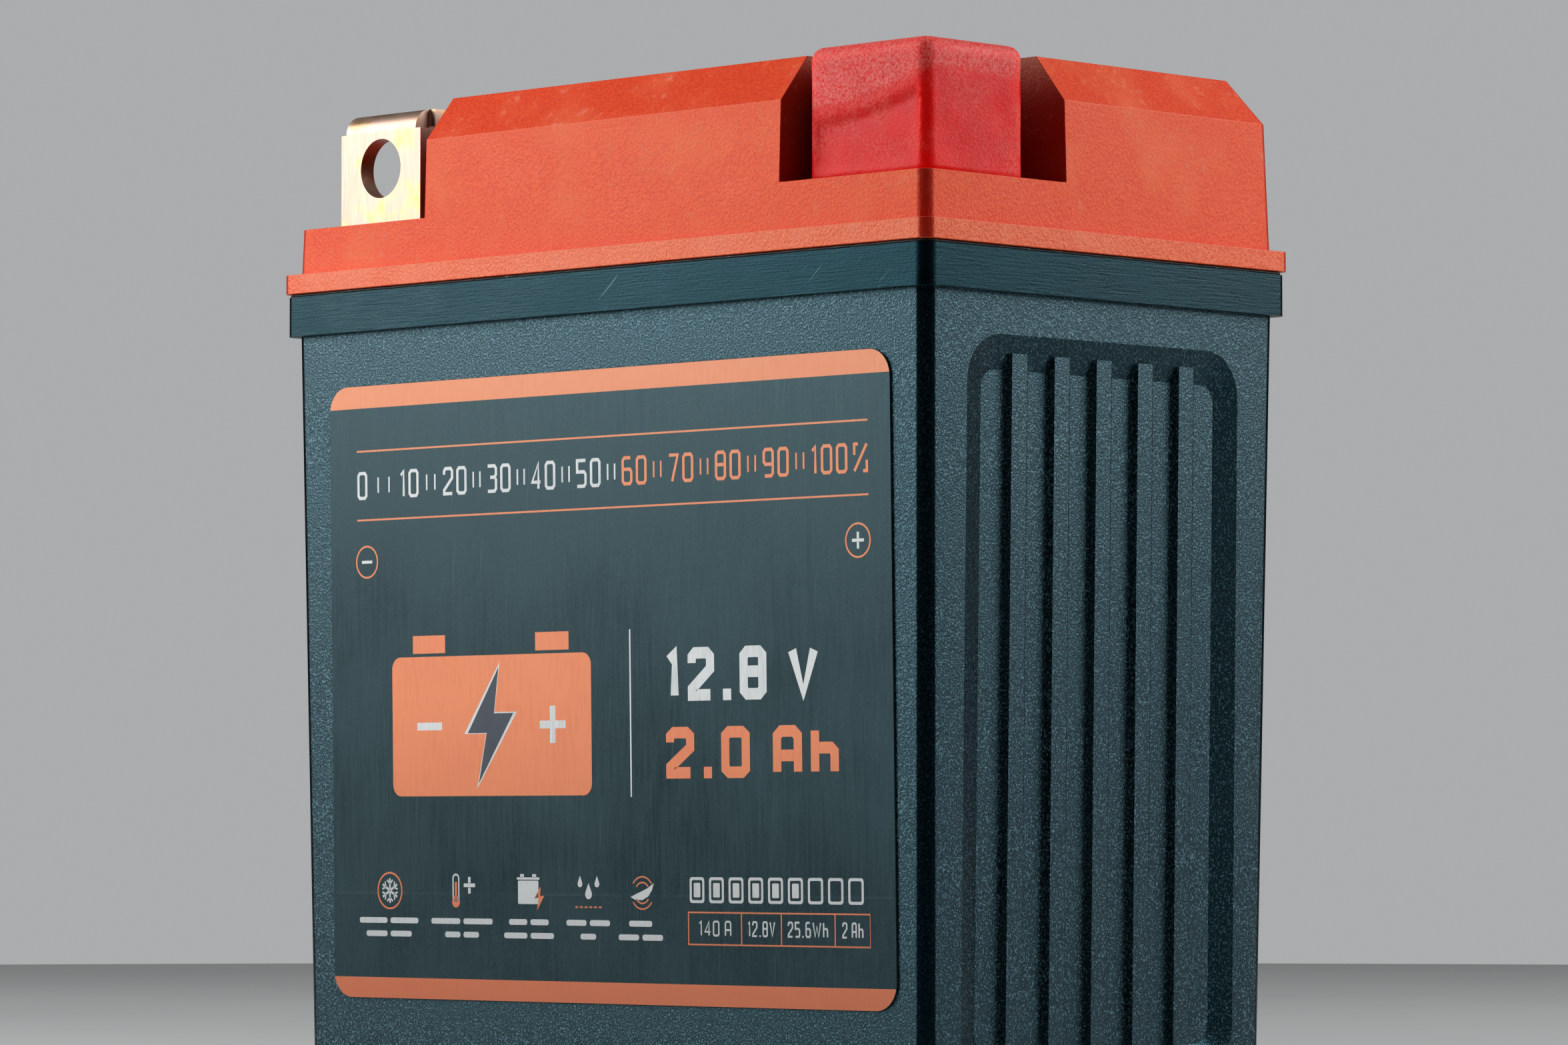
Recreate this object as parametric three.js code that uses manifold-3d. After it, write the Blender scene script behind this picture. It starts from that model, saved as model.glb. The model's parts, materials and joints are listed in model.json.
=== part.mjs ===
// A 12.8 V lithium motorcycle battery: moulded jar and lid, bent terminals under the lid's corner
// notches, a pull-off cap on the positive one, and the cell pack with its protection board inside.
// Millimetres, +Z up, +X to the positive end, -Y to the labelled front.
// The origin is the middle of the base.
import * as THREE from "three";
import { mergeVertices } from "three/addons/utils/BufferGeometryUtils.js";
import Module from "manifold-3d";

const wasm = await Module();
wasm.setup();

// ---------------------------------------------------------------- driving dimensions

const LENGTH = 99;
const WIDTH = 57;
const LID_TOP = 111;
const DRAFT = Math.tan(THREE.MathUtils.degToRad(0.9));
const CORNER_STEPS = 5;
const TOUCH_GAP = 0.05;
// How far a cutting solid runs past the face that it opens.
const CUT_OVER = 5;

const JAR = {
  rimBottom: 85.5,
  rimTop: 89.9,
  rimInset: 0.2,
  wallInset: 1.15,
  wall: 2.6,
  floor: 2.5,
  cornerRadius: 1.6,
  innerRadius: 1.2,
  footChamfer: 0.8,
};

const RECESS = { halfWidth: 21, low: 5, high: 81.4, slope: 1.8, depth: 0.7, cornerRadius: 4 };
const RIB = {
  width: 2.7,
  pitch: 6.5,
  height: 0.6,
  rooting: 0.5,
  count: 5,
  low: 6.4,
  high: 79.4,
  firstY: -12.95,
};

const LID = {
  bottom: 90.25,
  flangeTop: 92.4,
  wallInset: 1.25,
  chamferBottom: 106.1,
  chamferInset: 1.65,
  topInset: 5.6,
  backTopInset: 3.4,
  topRadius: 1,
  wall: 2.3,
  cornerRadius: 1.4,
  skirtLow: 86,
  skirtThickness: 1.6,
  skirtClearance: 0.25,
  skirtRooting: 0.5,
  skirtRadius: 1,
  hollowRadius: 0.8,
  hollowTaper: 3,
};

const BEAD = { inset: 0.55, innerInset: 3 };

const NOTCH = { innerX: 27.3, backY: -5.9, floor: 97.5, floorThickness: 2.2, cornerRadius: 1 };

const TERMINAL = {
  x: 38.3,
  width: 13.1,
  frontY: -23.7,
  backY: -12.3,
  thickness: 1.9,
  top: 110.3,
  bendRadius: 2.2,
  reliefDepth: 0.8,
  holeRadius: 3.3,
  holeZ: 104,
  legWidth: 7.6,
  legLow: 84.4,
  rivetZ: 88.2,
  rivetHoleRadius: 1.5,
};

const GASKET = { border: 1.4, thickness: 1.5 };

const CAP = { x: 37.55, width: 17.2, depth: 15.1, top: 111.5, wall: 1, cornerRadius: 1.4, frontGap: 0.2 };

const LABEL = { left: -42.4, right: 43.4, low: 12.1, high: 79.5, thickness: 0.2, cornerRadius: 2.9 };

const CELL = {
  radius: 9.15,
  height: 65,
  pitch: 19.2,
  columns: 4,
  rows: 2,
  low: 5.2,
  edge: 0.6,
  buttonHeight: 0.7,
  buttonRadius: 4.6,
  grooveDepth: 0.7,
  grooveWidth: 1,
  grooveBelowTop: 2.4,
};
const HOLDER = { bore: 9.3, border: 1.2, height: 8, cornerRadius: 2, strapGap: 0.1 };
const STRAP = { thickness: 0.3, margin: 1.2, cornerRadius: 1 };
const SHEET = { halfX: 39, halfY: 19.6, thickness: 0.4, cornerRadius: 2 };
const BASE_FOAM_THICKNESS = 2;
const TOP_FOAM_THICKNESS = 3;
const PAD = { low: 8, high: 66 };
const END_PAD = { inner: 39.3, outer: 43.2, halfWidth: 16, cornerRadius: 1 };
const SIDE_PAD = { halfLength: 34, cornerRadius: 0.5, frontY: [-22.6, -20.1], backY: [22.1, 23.2] };

const BOARD = { halfX: 38, halfY: 17.5, thickness: 1.6, cornerRadius: 1.5 };
const TRANSISTOR = { firstX: -21, pitch: 8, y: -9, size: [6.5, 9.5, 2.3] };
const RESISTOR = { firstX: -18, pitch: 8, y: 3.5, size: [5, 2.6, 0.6] };
const CHIP = { x: 17, y: -4, size: [5, 5, 1.1] };
const CONNECTOR = { x: 20, y: 11, size: [15, 5.8, 6] };
const LUG = {
  thickness: 1,
  halfWidth: 3.4,
  halfHeight: 3.2,
  barrelHalf: 2.4,
  barrelDepth: 4.4,
  barrelDrop: 5.2,
  barrelRooting: 0.2,
};
const RIVET = { shank: 1.45, headRadius: 2.7, tipRadius: 1.6, headHeight: 1 };
const LEAD = { radius: 1.9, gap: 0.3 };
const SENSE_WIRE = { radius: 0.6, count: 5, pitch: 14.4, y: 20.5, fromY: 16.6, highTap: 2, lowTap: 12 };

// ---------------------------------------------------------------- materials

const paint = (color, roughness, metalness = 0) =>
  new THREE.MeshStandardMaterial({ color, roughness, metalness });

const MATERIALS = {
  jar: paint(0x26343b, 0.6),
  lid: paint(0xd8572c, 0.5),
  bead: paint(0x14191c, 0.7),
  label: paint(0x3a4a52, 0.45),
  brass: paint(0xe6c27a, 0.3, 1),
  cap: paint(0xd8322a, 0.45),
  cellWrap: paint(0x2f6f9e, 0.4),
  holder: paint(0x1b1b1d, 0.6),
  nickel: paint(0xb9bbbd, 0.35, 1),
  paperboard: paint(0xc9d3b0, 0.8),
  foam: paint(0x3b3b3d, 0.95),
  board: paint(0x1c5a33, 0.45),
  chip: paint(0x161616, 0.5),
  connector: paint(0xefeee8, 0.5),
  redLead: paint(0xb32020, 0.5),
  blackLead: paint(0x1a1a1a, 0.5),
  gasket: paint(0x111111, 0.8),
};

// ---------------------------------------------------------------- solid helpers

// A closed geometry as a solid that can be joined and cut.
function solidOf(geometry) {
  const bare = geometry.clone();
  bare.deleteAttribute("normal");
  bare.deleteAttribute("uv");
  const merged = mergeVertices(bare, 1e-4);
  return new wasm.Manifold(
    new wasm.Mesh({
      numProp: 3,
      vertProperties: merged.attributes.position.array,
      triVerts: new Uint32Array(merged.index.array),
    }),
  );
}

function geometryOf(solid) {
  const mesh = solid.getMesh();
  const positions = new Float32Array(mesh.numVert * 3);
  for (let i = 0; i < mesh.numVert; i++) {
    positions.set(mesh.vertProperties.subarray(i * mesh.numProp, i * mesh.numProp + 3), i * 3);
  }
  const geometry = new THREE.BufferGeometry();
  geometry.setAttribute("position", new THREE.BufferAttribute(positions, 3));
  geometry.setIndex(new THREE.BufferAttribute(mesh.triVerts, 1));
  return geometry;
}

// The corners of a rounded rectangle, anticlockwise, as [u, v] pairs.
function roundedOutline(u0, u1, v0, v1, radius) {
  const corners = [
    [u1 - radius, v1 - radius, 0],
    [u0 + radius, v1 - radius, 1],
    [u0 + radius, v0 + radius, 2],
    [u1 - radius, v0 + radius, 3],
  ];
  return corners.flatMap(([u, v, quarter]) =>
    Array.from({ length: CORNER_STEPS + 1 }, (_, i) => {
      const angle = (quarter + i / CORNER_STEPS) * (Math.PI / 2);
      return [u + radius * Math.cos(angle), v + radius * Math.sin(angle)];
    }),
  );
}

// A solid skinned over level rings, each { z, x0, x1, y0, y1, radius }.
function loft(rings) {
  const outlines = rings.map((r) => roundedOutline(r.x0, r.x1, r.y0, r.y1, r.radius));
  const count = outlines[0].length;
  const positions = outlines.flatMap((outline, k) => outline.flatMap(([x, y]) => [x, y, rings[k].z]));
  const index = [];
  for (let k = 0; k + 1 < rings.length; k++) {
    for (let i = 0; i < count; i++) {
      const a = k * count + i;
      const b = k * count + ((i + 1) % count);
      index.push(a, b, b + count, a, b + count, a + count);
    }
  }
  const last = (rings.length - 1) * count;
  for (let i = 1; i + 1 < count; i++) {
    index.push(0, i + 1, i, last, last + i, last + i + 1);
  }
  const geometry = new THREE.BufferGeometry();
  geometry.setAttribute("position", new THREE.Float32BufferAttribute(positions, 3));
  geometry.setIndex(index);
  return geometry;
}

// A level ring of the whole battery's outline, set in from it by an equal amount all round.
const insetRing = (z, inset, radius = JAR.cornerRadius) => ({
  z,
  x0: inset - LENGTH / 2,
  x1: LENGTH / 2 - inset,
  y0: inset - WIDTH / 2,
  y1: WIDTH / 2 - inset,
  radius,
});

function box(x0, x1, y0, y1, z0, z1) {
  const geometry = new THREE.BoxGeometry(x1 - x0, y1 - y0, z1 - z0);
  return geometry.translate((x0 + x1) / 2, (y0 + y1) / 2, (z0 + z1) / 2);
}

const boxSolid = (...sides) => solidOf(box(...sides));

const roundedBox = (x0, x1, y0, y1, z0, z1, radius) =>
  loft([
    { z: z0, x0, x1, y0, y1, radius },
    { z: z1, x0, x1, y0, y1, radius },
  ]);

function cylinder(radius, height, steps = 24) {
  return new THREE.CylinderGeometry(radius, radius, height, steps);
}

// Lays a solid that was made around X over onto the drafted end wall: low layers move inwards.
const leanWithDraft = (geometry, side) =>
  geometry.applyMatrix4(
    new THREE.Matrix4().set(1, 0, side * DRAFT, 0, 0, 1, 0, 0, 0, 0, 1, 0, 0, 0, 0, 1),
  );

const root = new THREE.Group();

function addPart(name, geometry, material) {
  const mesh = new THREE.Mesh(geometry, material);
  mesh.name = name;
  root.add(mesh);
  return mesh;
}

// ---------------------------------------------------------------- jar

const jarWallInset = (z) => JAR.wallInset + (JAR.rimBottom - z) * DRAFT;
const jarInnerInset = (z) => jarWallInset(z) + JAR.wall;

// One end face's sunk panel, as the solid that is cut away; side is +1 or -1.
function recessCutter(side) {
  const faceX = LENGTH / 2 - jarWallInset(0);
  const beyond = 1;
  const grow = (beyond * RECESS.slope) / RECESS.depth;
  const outlines = [
    { x: faceX + beyond, inset: -grow },
    { x: faceX - RECESS.depth, inset: RECESS.slope },
  ];
  const rings = outlines.map(({ x, inset }) => ({
    z: x,
    x0: RECESS.low + inset,
    x1: RECESS.high - inset,
    y0: -RECESS.halfWidth + inset,
    y1: RECESS.halfWidth - inset,
    radius: RECESS.cornerRadius,
  }));
  // The rings are stacked along Z, then Z is turned to point along X and X along Z.
  const cutter = loft(rings.reverse());
  cutter.applyMatrix4(new THREE.Matrix4().set(0, 0, 1, 0, 0, -1, 0, 0, 1, 0, 0, 0, 0, 0, 0, 1));
  if (side < 0) cutter.rotateZ(Math.PI);
  return solidOf(leanWithDraft(cutter, side));
}

function rib(side, index) {
  const y = RIB.firstY + index * RIB.pitch;
  const floorX = LENGTH / 2 - jarWallInset(0) - RECESS.depth;
  const low = floorX - RIB.rooting;
  const high = floorX + RIB.height;
  const bar = box(low, high, y - RIB.width / 2, y + RIB.width / 2, RIB.low, RIB.high);
  if (side < 0) bar.rotateZ(Math.PI);
  return solidOf(leanWithDraft(bar, side));
}

function jarGeometry() {
  const outer = loft([
    insetRing(0, jarWallInset(0) + JAR.footChamfer, JAR.cornerRadius),
    insetRing(JAR.footChamfer, jarWallInset(JAR.footChamfer)),
    insetRing(JAR.rimBottom, JAR.wallInset),
    insetRing(JAR.rimBottom, JAR.rimInset),
    insetRing(JAR.rimTop, JAR.rimInset),
  ]);
  const openTop = JAR.rimTop + CUT_OVER;
  const inner = loft([
    insetRing(JAR.floor, jarInnerInset(JAR.floor), JAR.innerRadius),
    insetRing(openTop, jarInnerInset(openTop), JAR.innerRadius),
  ]);
  let jar = solidOf(outer).subtract(solidOf(inner));
  for (const side of [1, -1]) {
    jar = jar.subtract(recessCutter(side));
    for (let i = 0; i < RIB.count; i++) {
      jar = jar.add(rib(side, i));
    }
  }
  return geometryOf(jar);
}

// ---------------------------------------------------------------- lid

// A ring of the lid, where the back's top edge is set in less than the other three.
function lidRing(z, inset, backInset, radius) {
  return { ...insetRing(z, inset, radius), y1: WIDTH / 2 - backInset };
}

const notchBox = (side, grow, low, high) => {
  const near = NOTCH.innerX - grow;
  const [x0, x1] = side > 0 ? [near, LENGTH] : [-LENGTH, -near];
  return solidOf(roundedBox(x0, x1, -WIDTH, NOTCH.backY + grow, low, high, NOTCH.cornerRadius));
};

const legSlot = (side) => {
  const half = TERMINAL.legWidth / 2 + TOUCH_GAP;
  const x = side * TERMINAL.x;
  const y0 = TERMINAL.backY - TERMINAL.thickness - TOUCH_GAP;
  const y1 = TERMINAL.backY + TOUCH_GAP;
  return boxSolid(x - half, x + half, y0, y1, NOTCH.floor - CUT_OVER, NOTCH.floor + CUT_OVER);
};

function lidGeometry() {
  const outer = loft([
    lidRing(LID.bottom, 0, 0, LID.cornerRadius),
    lidRing(LID.flangeTop, 0, 0, LID.cornerRadius),
    lidRing(LID.flangeTop, LID.wallInset, LID.wallInset, LID.cornerRadius),
    lidRing(LID.chamferBottom, LID.chamferInset, LID.chamferInset, LID.cornerRadius),
    lidRing(LID_TOP, LID.topInset, LID.backTopInset, LID.topRadius),
  ]);
  const skirtInset = jarInnerInset(JAR.rimTop) + LID.skirtClearance;
  const skirt = loft([
    insetRing(LID.skirtLow, skirtInset, LID.skirtRadius),
    insetRing(LID.bottom + LID.skirtRooting, skirtInset, LID.skirtRadius),
  ]);
  const hollowInset = skirtInset + LID.skirtThickness;
  let hollow = solidOf(
    loft([
      insetRing(LID.skirtLow - 1, hollowInset, LID.hollowRadius),
      insetRing(LID.chamferBottom - 1, hollowInset, LID.hollowRadius),
      insetRing(LID_TOP - LID.wall, hollowInset + LID.hollowTaper, LID.hollowRadius),
    ]),
  );
  const notchUnderside = NOTCH.floor - NOTCH.floorThickness;
  for (const side of [1, -1]) {
    hollow = hollow.subtract(notchBox(side, LID.wall, notchUnderside, LID_TOP + CUT_OVER));
  }
  let lid = solidOf(outer).add(solidOf(skirt)).subtract(hollow);
  for (const side of [1, -1]) {
    lid = lid.subtract(notchBox(side, 0, NOTCH.floor, LID_TOP + CUT_OVER));
    lid = lid.subtract(legSlot(side));
  }
  return geometryOf(lid);
}

function weldBeadGeometry() {
  const band = (inset, radius, over) => {
    const rings = [JAR.rimTop - over, LID.bottom + over].map((z) => insetRing(z, inset, radius));
    return solidOf(loft(rings));
  };
  const outer = band(BEAD.inset, JAR.cornerRadius, 0);
  return geometryOf(outer.subtract(band(BEAD.innerInset, JAR.innerRadius, CUT_OVER)));
}

// ---------------------------------------------------------------- terminals and cap

// The bent strip seen from the end: front plate, top plate and the leg that drops into the lid.
function terminalOutline() {
  const { frontY, backY, thickness, top, bendRadius, legLow } = TERMINAL;
  const inside = bendRadius - thickness;
  const shape = new THREE.Shape();
  shape.moveTo(frontY, NOTCH.floor);
  shape.lineTo(frontY + thickness, NOTCH.floor);
  shape.lineTo(frontY + thickness, top - bendRadius);
  shape.absarc(frontY + bendRadius, top - bendRadius, inside, Math.PI, Math.PI / 2, true);
  shape.absarc(backY - bendRadius, top - bendRadius, inside, Math.PI / 2, 0, true);
  shape.lineTo(backY - thickness, legLow);
  shape.lineTo(backY, legLow);
  shape.lineTo(backY, top - bendRadius);
  shape.absarc(backY - bendRadius, top - bendRadius, bendRadius, 0, Math.PI / 2, false);
  shape.absarc(frontY + bendRadius, top - bendRadius, bendRadius, Math.PI / 2, Math.PI, false);
  return shape;
}

function terminalGeometry(side) {
  const { x, width, frontY, backY, thickness, top, bendRadius } = TERMINAL;
  const strip = new THREE.ExtrudeGeometry(terminalOutline(), {
    depth: width,
    bevelEnabled: false,
    curveSegments: 5,
  });
  // The outline's axes are Y and Z, and it is extruded along X.
  strip.translate(0, 0, -width / 2);
  strip.applyMatrix4(new THREE.Matrix4().set(0, 0, 1, 0, 1, 0, 0, 0, 0, 1, 0, 0, 0, 0, 0, 1));
  let terminal = solidOf(strip);
  for (const end of [-1, 1]) {
    // The bend is relieved at both edges, and the leg is narrower than the plates.
    const relief = [end * (width / 2 - TERMINAL.reliefDepth), end * width].sort((a, b) => a - b);
    const edge = [end * (TERMINAL.legWidth / 2), end * width].sort((a, b) => a - b);
    const bendBack = frontY + bendRadius;
    const legFront = backY - thickness - TOUCH_GAP;
    terminal = terminal
      .subtract(boxSolid(...relief, frontY - 1, bendBack, top - bendRadius, top + 1))
      .subtract(boxSolid(...edge, legFront, backY + 1, TERMINAL.legLow - 1, NOTCH.floor));
  }
  const hole = (radius, y, z, axis) => {
    const pin = cylinder(radius, 3 * thickness);
    if (axis === "z") pin.rotateX(Math.PI / 2);
    return solidOf(pin.translate(0, y, z));
  };
  terminal = terminal
    .subtract(hole(TERMINAL.holeRadius, frontY, TERMINAL.holeZ, "y"))
    .subtract(hole(TERMINAL.holeRadius, (frontY + backY) / 2, top, "z"))
    .subtract(hole(TERMINAL.rivetHoleRadius, backY, TERMINAL.rivetZ, "y"));
  return geometryOf(terminal).translate(side * x, 0, 0);
}

function capGeometry() {
  const { width, depth, top, wall, cornerRadius } = CAP;
  const y0 = TERMINAL.frontY - wall - CAP.frontGap;
  const ring = (z, inset, radius) => ({
    z,
    x0: inset - width / 2,
    x1: width / 2 - inset,
    y0: y0 + inset,
    y1: y0 + depth - inset,
    radius,
  });
  const soft = cornerRadius * 0.3;
  const outer = loft([
    ring(NOTCH.floor, 0, cornerRadius),
    ring(top - cornerRadius, 0, cornerRadius),
    ring(top - soft, soft, cornerRadius),
    ring(top, cornerRadius, cornerRadius * 0.7),
  ]);
  const innerRadius = cornerRadius - wall;
  const inner = loft([
    ring(NOTCH.floor - CUT_OVER, wall, innerRadius),
    ring(top - wall, wall, innerRadius),
  ]);
  return geometryOf(solidOf(outer).subtract(solidOf(inner))).translate(CAP.x, 0, 0);
}

// ---------------------------------------------------------------- label

function labelGeometry() {
  const frontY = (z) => jarWallInset(z) - WIDTH / 2 - TOUCH_GAP;
  const outline = roundedOutline(LABEL.left, LABEL.right, LABEL.low, LABEL.high, LABEL.cornerRadius);
  const shape = new THREE.Shape(outline.map(([x, z]) => new THREE.Vector2(x, z)));
  const film = new THREE.ExtrudeGeometry(shape, { depth: LABEL.thickness, bevelEnabled: false });
  // Stand the film upright, then lean it to the drafted front wall.
  film.rotateX(Math.PI / 2);
  film.applyMatrix4(new THREE.Matrix4().set(1, 0, 0, 0, 0, 1, -DRAFT, 0, 0, 0, 1, 0, 0, 0, 0, 1));
  return film.translate(0, frontY(0), 0);
}

// ---------------------------------------------------------------- cell pack

const cellTop = CELL.low + CELL.height;
const columnX = (column) => (column - (CELL.columns - 1) / 2) * CELL.pitch;
const rowY = (row) => (row - (CELL.rows - 1) / 2) * CELL.pitch;

// A can with its rolled groove and raised button at the top; flipped for a negative end up.
function cellGeometry(positiveUp) {
  const { radius, height, edge, buttonRadius, grooveDepth, grooveWidth } = CELL;
  const can = height - CELL.buttonHeight;
  const grooveTop = can - CELL.grooveBelowTop;
  const profile = [
    [0, 0],
    [radius - edge, 0],
    [radius, edge],
    [radius, grooveTop - grooveWidth],
    [radius - grooveDepth, grooveTop - grooveWidth / 2],
    [radius, grooveTop],
    [radius, can - edge],
    [radius - edge, can],
    [buttonRadius, can],
    [buttonRadius, height],
    [0, height],
  ];
  const cell = new THREE.LatheGeometry(profile.map(([r, z]) => new THREE.Vector2(r, z)), 20);
  cell.rotateX(Math.PI / 2);
  if (!positiveUp) {
    cell.rotateX(Math.PI).translate(0, 0, height);
  }
  return cell;
}

function holderGeometry(z0, z1) {
  const halfX = (CELL.columns / 2) * CELL.pitch + HOLDER.border / 2;
  const halfY = (CELL.rows / 2) * CELL.pitch + HOLDER.border / 2;
  let holder = solidOf(roundedBox(-halfX, halfX, -halfY, halfY, z0, z1, HOLDER.cornerRadius));
  for (let column = 0; column < CELL.columns; column++) {
    for (let row = 0; row < CELL.rows; row++) {
      const bore = cylinder(HOLDER.bore, 3 * HOLDER.height, 20).rotateX(Math.PI / 2);
      holder = holder.subtract(solidOf(bore.translate(columnX(column), rowY(row), z0)));
    }
  }
  return geometryOf(holder);
}

function strapGeometry(firstColumn, lastColumn, z0) {
  const reach = CELL.radius - STRAP.margin;
  const x0 = columnX(firstColumn) - reach;
  const x1 = columnX(lastColumn) + reach;
  const [y0, y1] = [rowY(0) - reach, rowY(1) + reach];
  return roundedBox(x0, x1, y0, y1, z0, z0 + STRAP.thickness, STRAP.cornerRadius);
}

function buildCellPack() {
  for (let column = 0; column < CELL.columns; column++) {
    const positiveUp = column % 2 === 1;
    for (let row = 0; row < CELL.rows; row++) {
      const name = `cell_${column * CELL.rows + row + 1}`;
      const cell = addPart(name, cellGeometry(positiveUp), MATERIALS.cellWrap);
      cell.position.set(columnX(column), rowY(row), CELL.low);
    }
  }
  const lowerHolder = holderGeometry(CELL.low, CELL.low + HOLDER.height);
  addPart("cell_holder_lower", lowerHolder, MATERIALS.holder);
  const upperHolder = holderGeometry(cellTop - HOLDER.height, cellTop - HOLDER.strapGap);
  addPart("cell_holder_upper", upperHolder, MATERIALS.holder);
  const under = CELL.low - STRAP.thickness;
  addPart("negative_busbar", strapGeometry(0, 0, cellTop), MATERIALS.nickel);
  addPart("link_strap_1", strapGeometry(0, 1, under), MATERIALS.nickel);
  addPart("link_strap_2", strapGeometry(1, 2, cellTop), MATERIALS.nickel);
  addPart("link_strap_3", strapGeometry(2, 3, under), MATERIALS.nickel);
  addPart("positive_busbar", strapGeometry(3, 3, cellTop), MATERIALS.nickel);
}

// ---------------------------------------------------------------- insulation and padding

function buildPadding() {
  const sheet = (name, z0, thickness, material) => {
    const { halfX, halfY, cornerRadius } = SHEET;
    const pad = roundedBox(-halfX, halfX, -halfY, halfY, z0, z0 + thickness, cornerRadius);
    addPart(name, pad, material);
  };
  const underStraps = CELL.low - STRAP.thickness - SHEET.thickness;
  const overStraps = cellTop + STRAP.thickness;
  sheet("base_foam", underStraps - BASE_FOAM_THICKNESS, BASE_FOAM_THICKNESS, MATERIALS.foam);
  sheet("bottom_insulator", underStraps, SHEET.thickness, MATERIALS.paperboard);
  sheet("top_insulator", overStraps, SHEET.thickness, MATERIALS.paperboard);
  sheet("board_foam", overStraps + SHEET.thickness, TOP_FOAM_THICKNESS, MATERIALS.foam);
  const { inner, outer, halfWidth, cornerRadius } = END_PAD;
  for (const [name, side] of [
    ["end_foam_left", -1],
    ["end_foam_right", 1],
  ]) {
    const pad = roundedBox(inner, outer, -halfWidth, halfWidth, PAD.low, PAD.high, cornerRadius);
    addPart(name, side > 0 ? pad : pad.rotateZ(Math.PI), MATERIALS.foam);
  }
  for (const [name, [y0, y1]] of [
    ["side_foam_front", SIDE_PAD.frontY],
    ["side_foam_back", SIDE_PAD.backY],
  ]) {
    const half = SIDE_PAD.halfLength;
    const pad = roundedBox(-half, half, y0, y1, PAD.low, PAD.high, SIDE_PAD.cornerRadius);
    addPart(name, pad, MATERIALS.foam);
  }
}

// ---------------------------------------------------------------- protection board and leads

const boardLow = cellTop + STRAP.thickness + SHEET.thickness + TOP_FOAM_THICKNESS;
const boardTop = boardLow + BOARD.thickness;

// A round wire swept along a smooth curve through its points.
function wire(points, radius, sides, steps) {
  const outline = new THREE.Shape(
    Array.from({ length: sides }, (_, i) => {
      const angle = (i / sides) * 2 * Math.PI;
      return new THREE.Vector2(radius * Math.cos(angle), radius * Math.sin(angle));
    }),
  );
  const path = new THREE.CatmullRomCurve3(points.map((p) => new THREE.Vector3(...p)));
  return new THREE.ExtrudeGeometry(outline, { steps, extrudePath: path, bevelEnabled: false });
}

// The crimped ring that a lead ends in, flat against the terminal leg's back.
function lugGeometry(side) {
  const { thickness, halfWidth, halfHeight, barrelHalf, barrelDepth, barrelDrop } = LUG;
  const back = TERMINAL.backY;
  const z = TERMINAL.rivetZ;
  const plate = boxSolid(-halfWidth, halfWidth, back, back + thickness, z - halfHeight, z + halfHeight);
  const barrelTop = z - halfHeight + LUG.barrelRooting;
  const barrel = boxSolid(-barrelHalf, barrelHalf, back, back + barrelDepth, z - barrelDrop, barrelTop);
  const hole = solidOf(cylinder(TERMINAL.rivetHoleRadius, 2 * CUT_OVER).translate(0, back, z));
  return geometryOf(plate.add(barrel).subtract(hole)).translate(side * TERMINAL.x, 0, 0);
}

// The rivet through leg and lug: a shank with a formed head at each end.
function rivetGeometry(side) {
  const { shank, headRadius, tipRadius, headHeight } = RIVET;
  const front = TERMINAL.backY - TERMINAL.thickness;
  const back = TERMINAL.backY + LUG.thickness;
  const profile = [
    [0, front - headHeight],
    [tipRadius, front - headHeight],
    [headRadius, front],
    [shank, front],
    [shank, back],
    [headRadius, back],
    [tipRadius, back + headHeight],
    [0, back + headHeight],
  ];
  const rivet = new THREE.LatheGeometry(profile.map(([r, y]) => new THREE.Vector2(r, y)), 16);
  return rivet.translate(side * TERMINAL.x, 0, TERMINAL.rivetZ);
}

function buildBoard() {
  const { halfX, halfY, cornerRadius } = BOARD;
  const board = roundedBox(-halfX, halfX, -halfY, halfY, boardLow, boardTop, cornerRadius);
  addPart("protection_board", board, MATERIALS.board);
  const onBoard = (name, x, y, [sizeX, sizeY, sizeZ], material) => {
    const part = box(-sizeX / 2, sizeX / 2, -sizeY / 2, sizeY / 2, 0, sizeZ);
    addPart(name, part, material).position.set(x, y, boardTop);
  };
  for (const [name, { firstX, pitch, y, size }] of [
    ["power_transistor", TRANSISTOR],
    ["balance_resistor", RESISTOR],
  ]) {
    for (let i = 0; i < 4; i++) {
      onBoard(`${name}_${i + 1}`, firstX + pitch * i, y, size, MATERIALS.chip);
    }
  }
  onBoard("control_chip", CHIP.x, CHIP.y, CHIP.size, MATERIALS.chip);
  onBoard("balance_connector", CONNECTOR.x, CONNECTOR.y, CONNECTOR.size, MATERIALS.connector);
}

// Each terminal's lead leaves its lug downwards, swings in and lands on the board.
function buildLeads() {
  for (const [side, name] of [
    [-1, "negative"],
    [1, "positive"],
  ]) {
    addPart(`${name}_lug`, lugGeometry(side), MATERIALS.nickel);
    addPart(`${name}_rivet`, rivetGeometry(side), MATERIALS.nickel);
    const { x, backY, rivetZ } = TERMINAL;
    const lugLow = rivetZ - LUG.barrelDrop;
    const route = [
      [side * x, backY + 2.6, lugLow - LEAD.gap],
      [side * x, backY + 2.8, lugLow - 1.6],
      [side * (x - 2), backY + 5, lugLow - 3.6],
      [side * (x - 3.8), backY + 7.2, boardTop + 2.2],
      [side * (x - 3.9), backY + 7.3, boardTop + 0.5],
    ];
    const lead = wire(route, LEAD.radius, 8, 20);
    addPart(`${name}_lead`, lead, side > 0 ? MATERIALS.redLead : MATERIALS.blackLead);
  }
}

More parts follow.
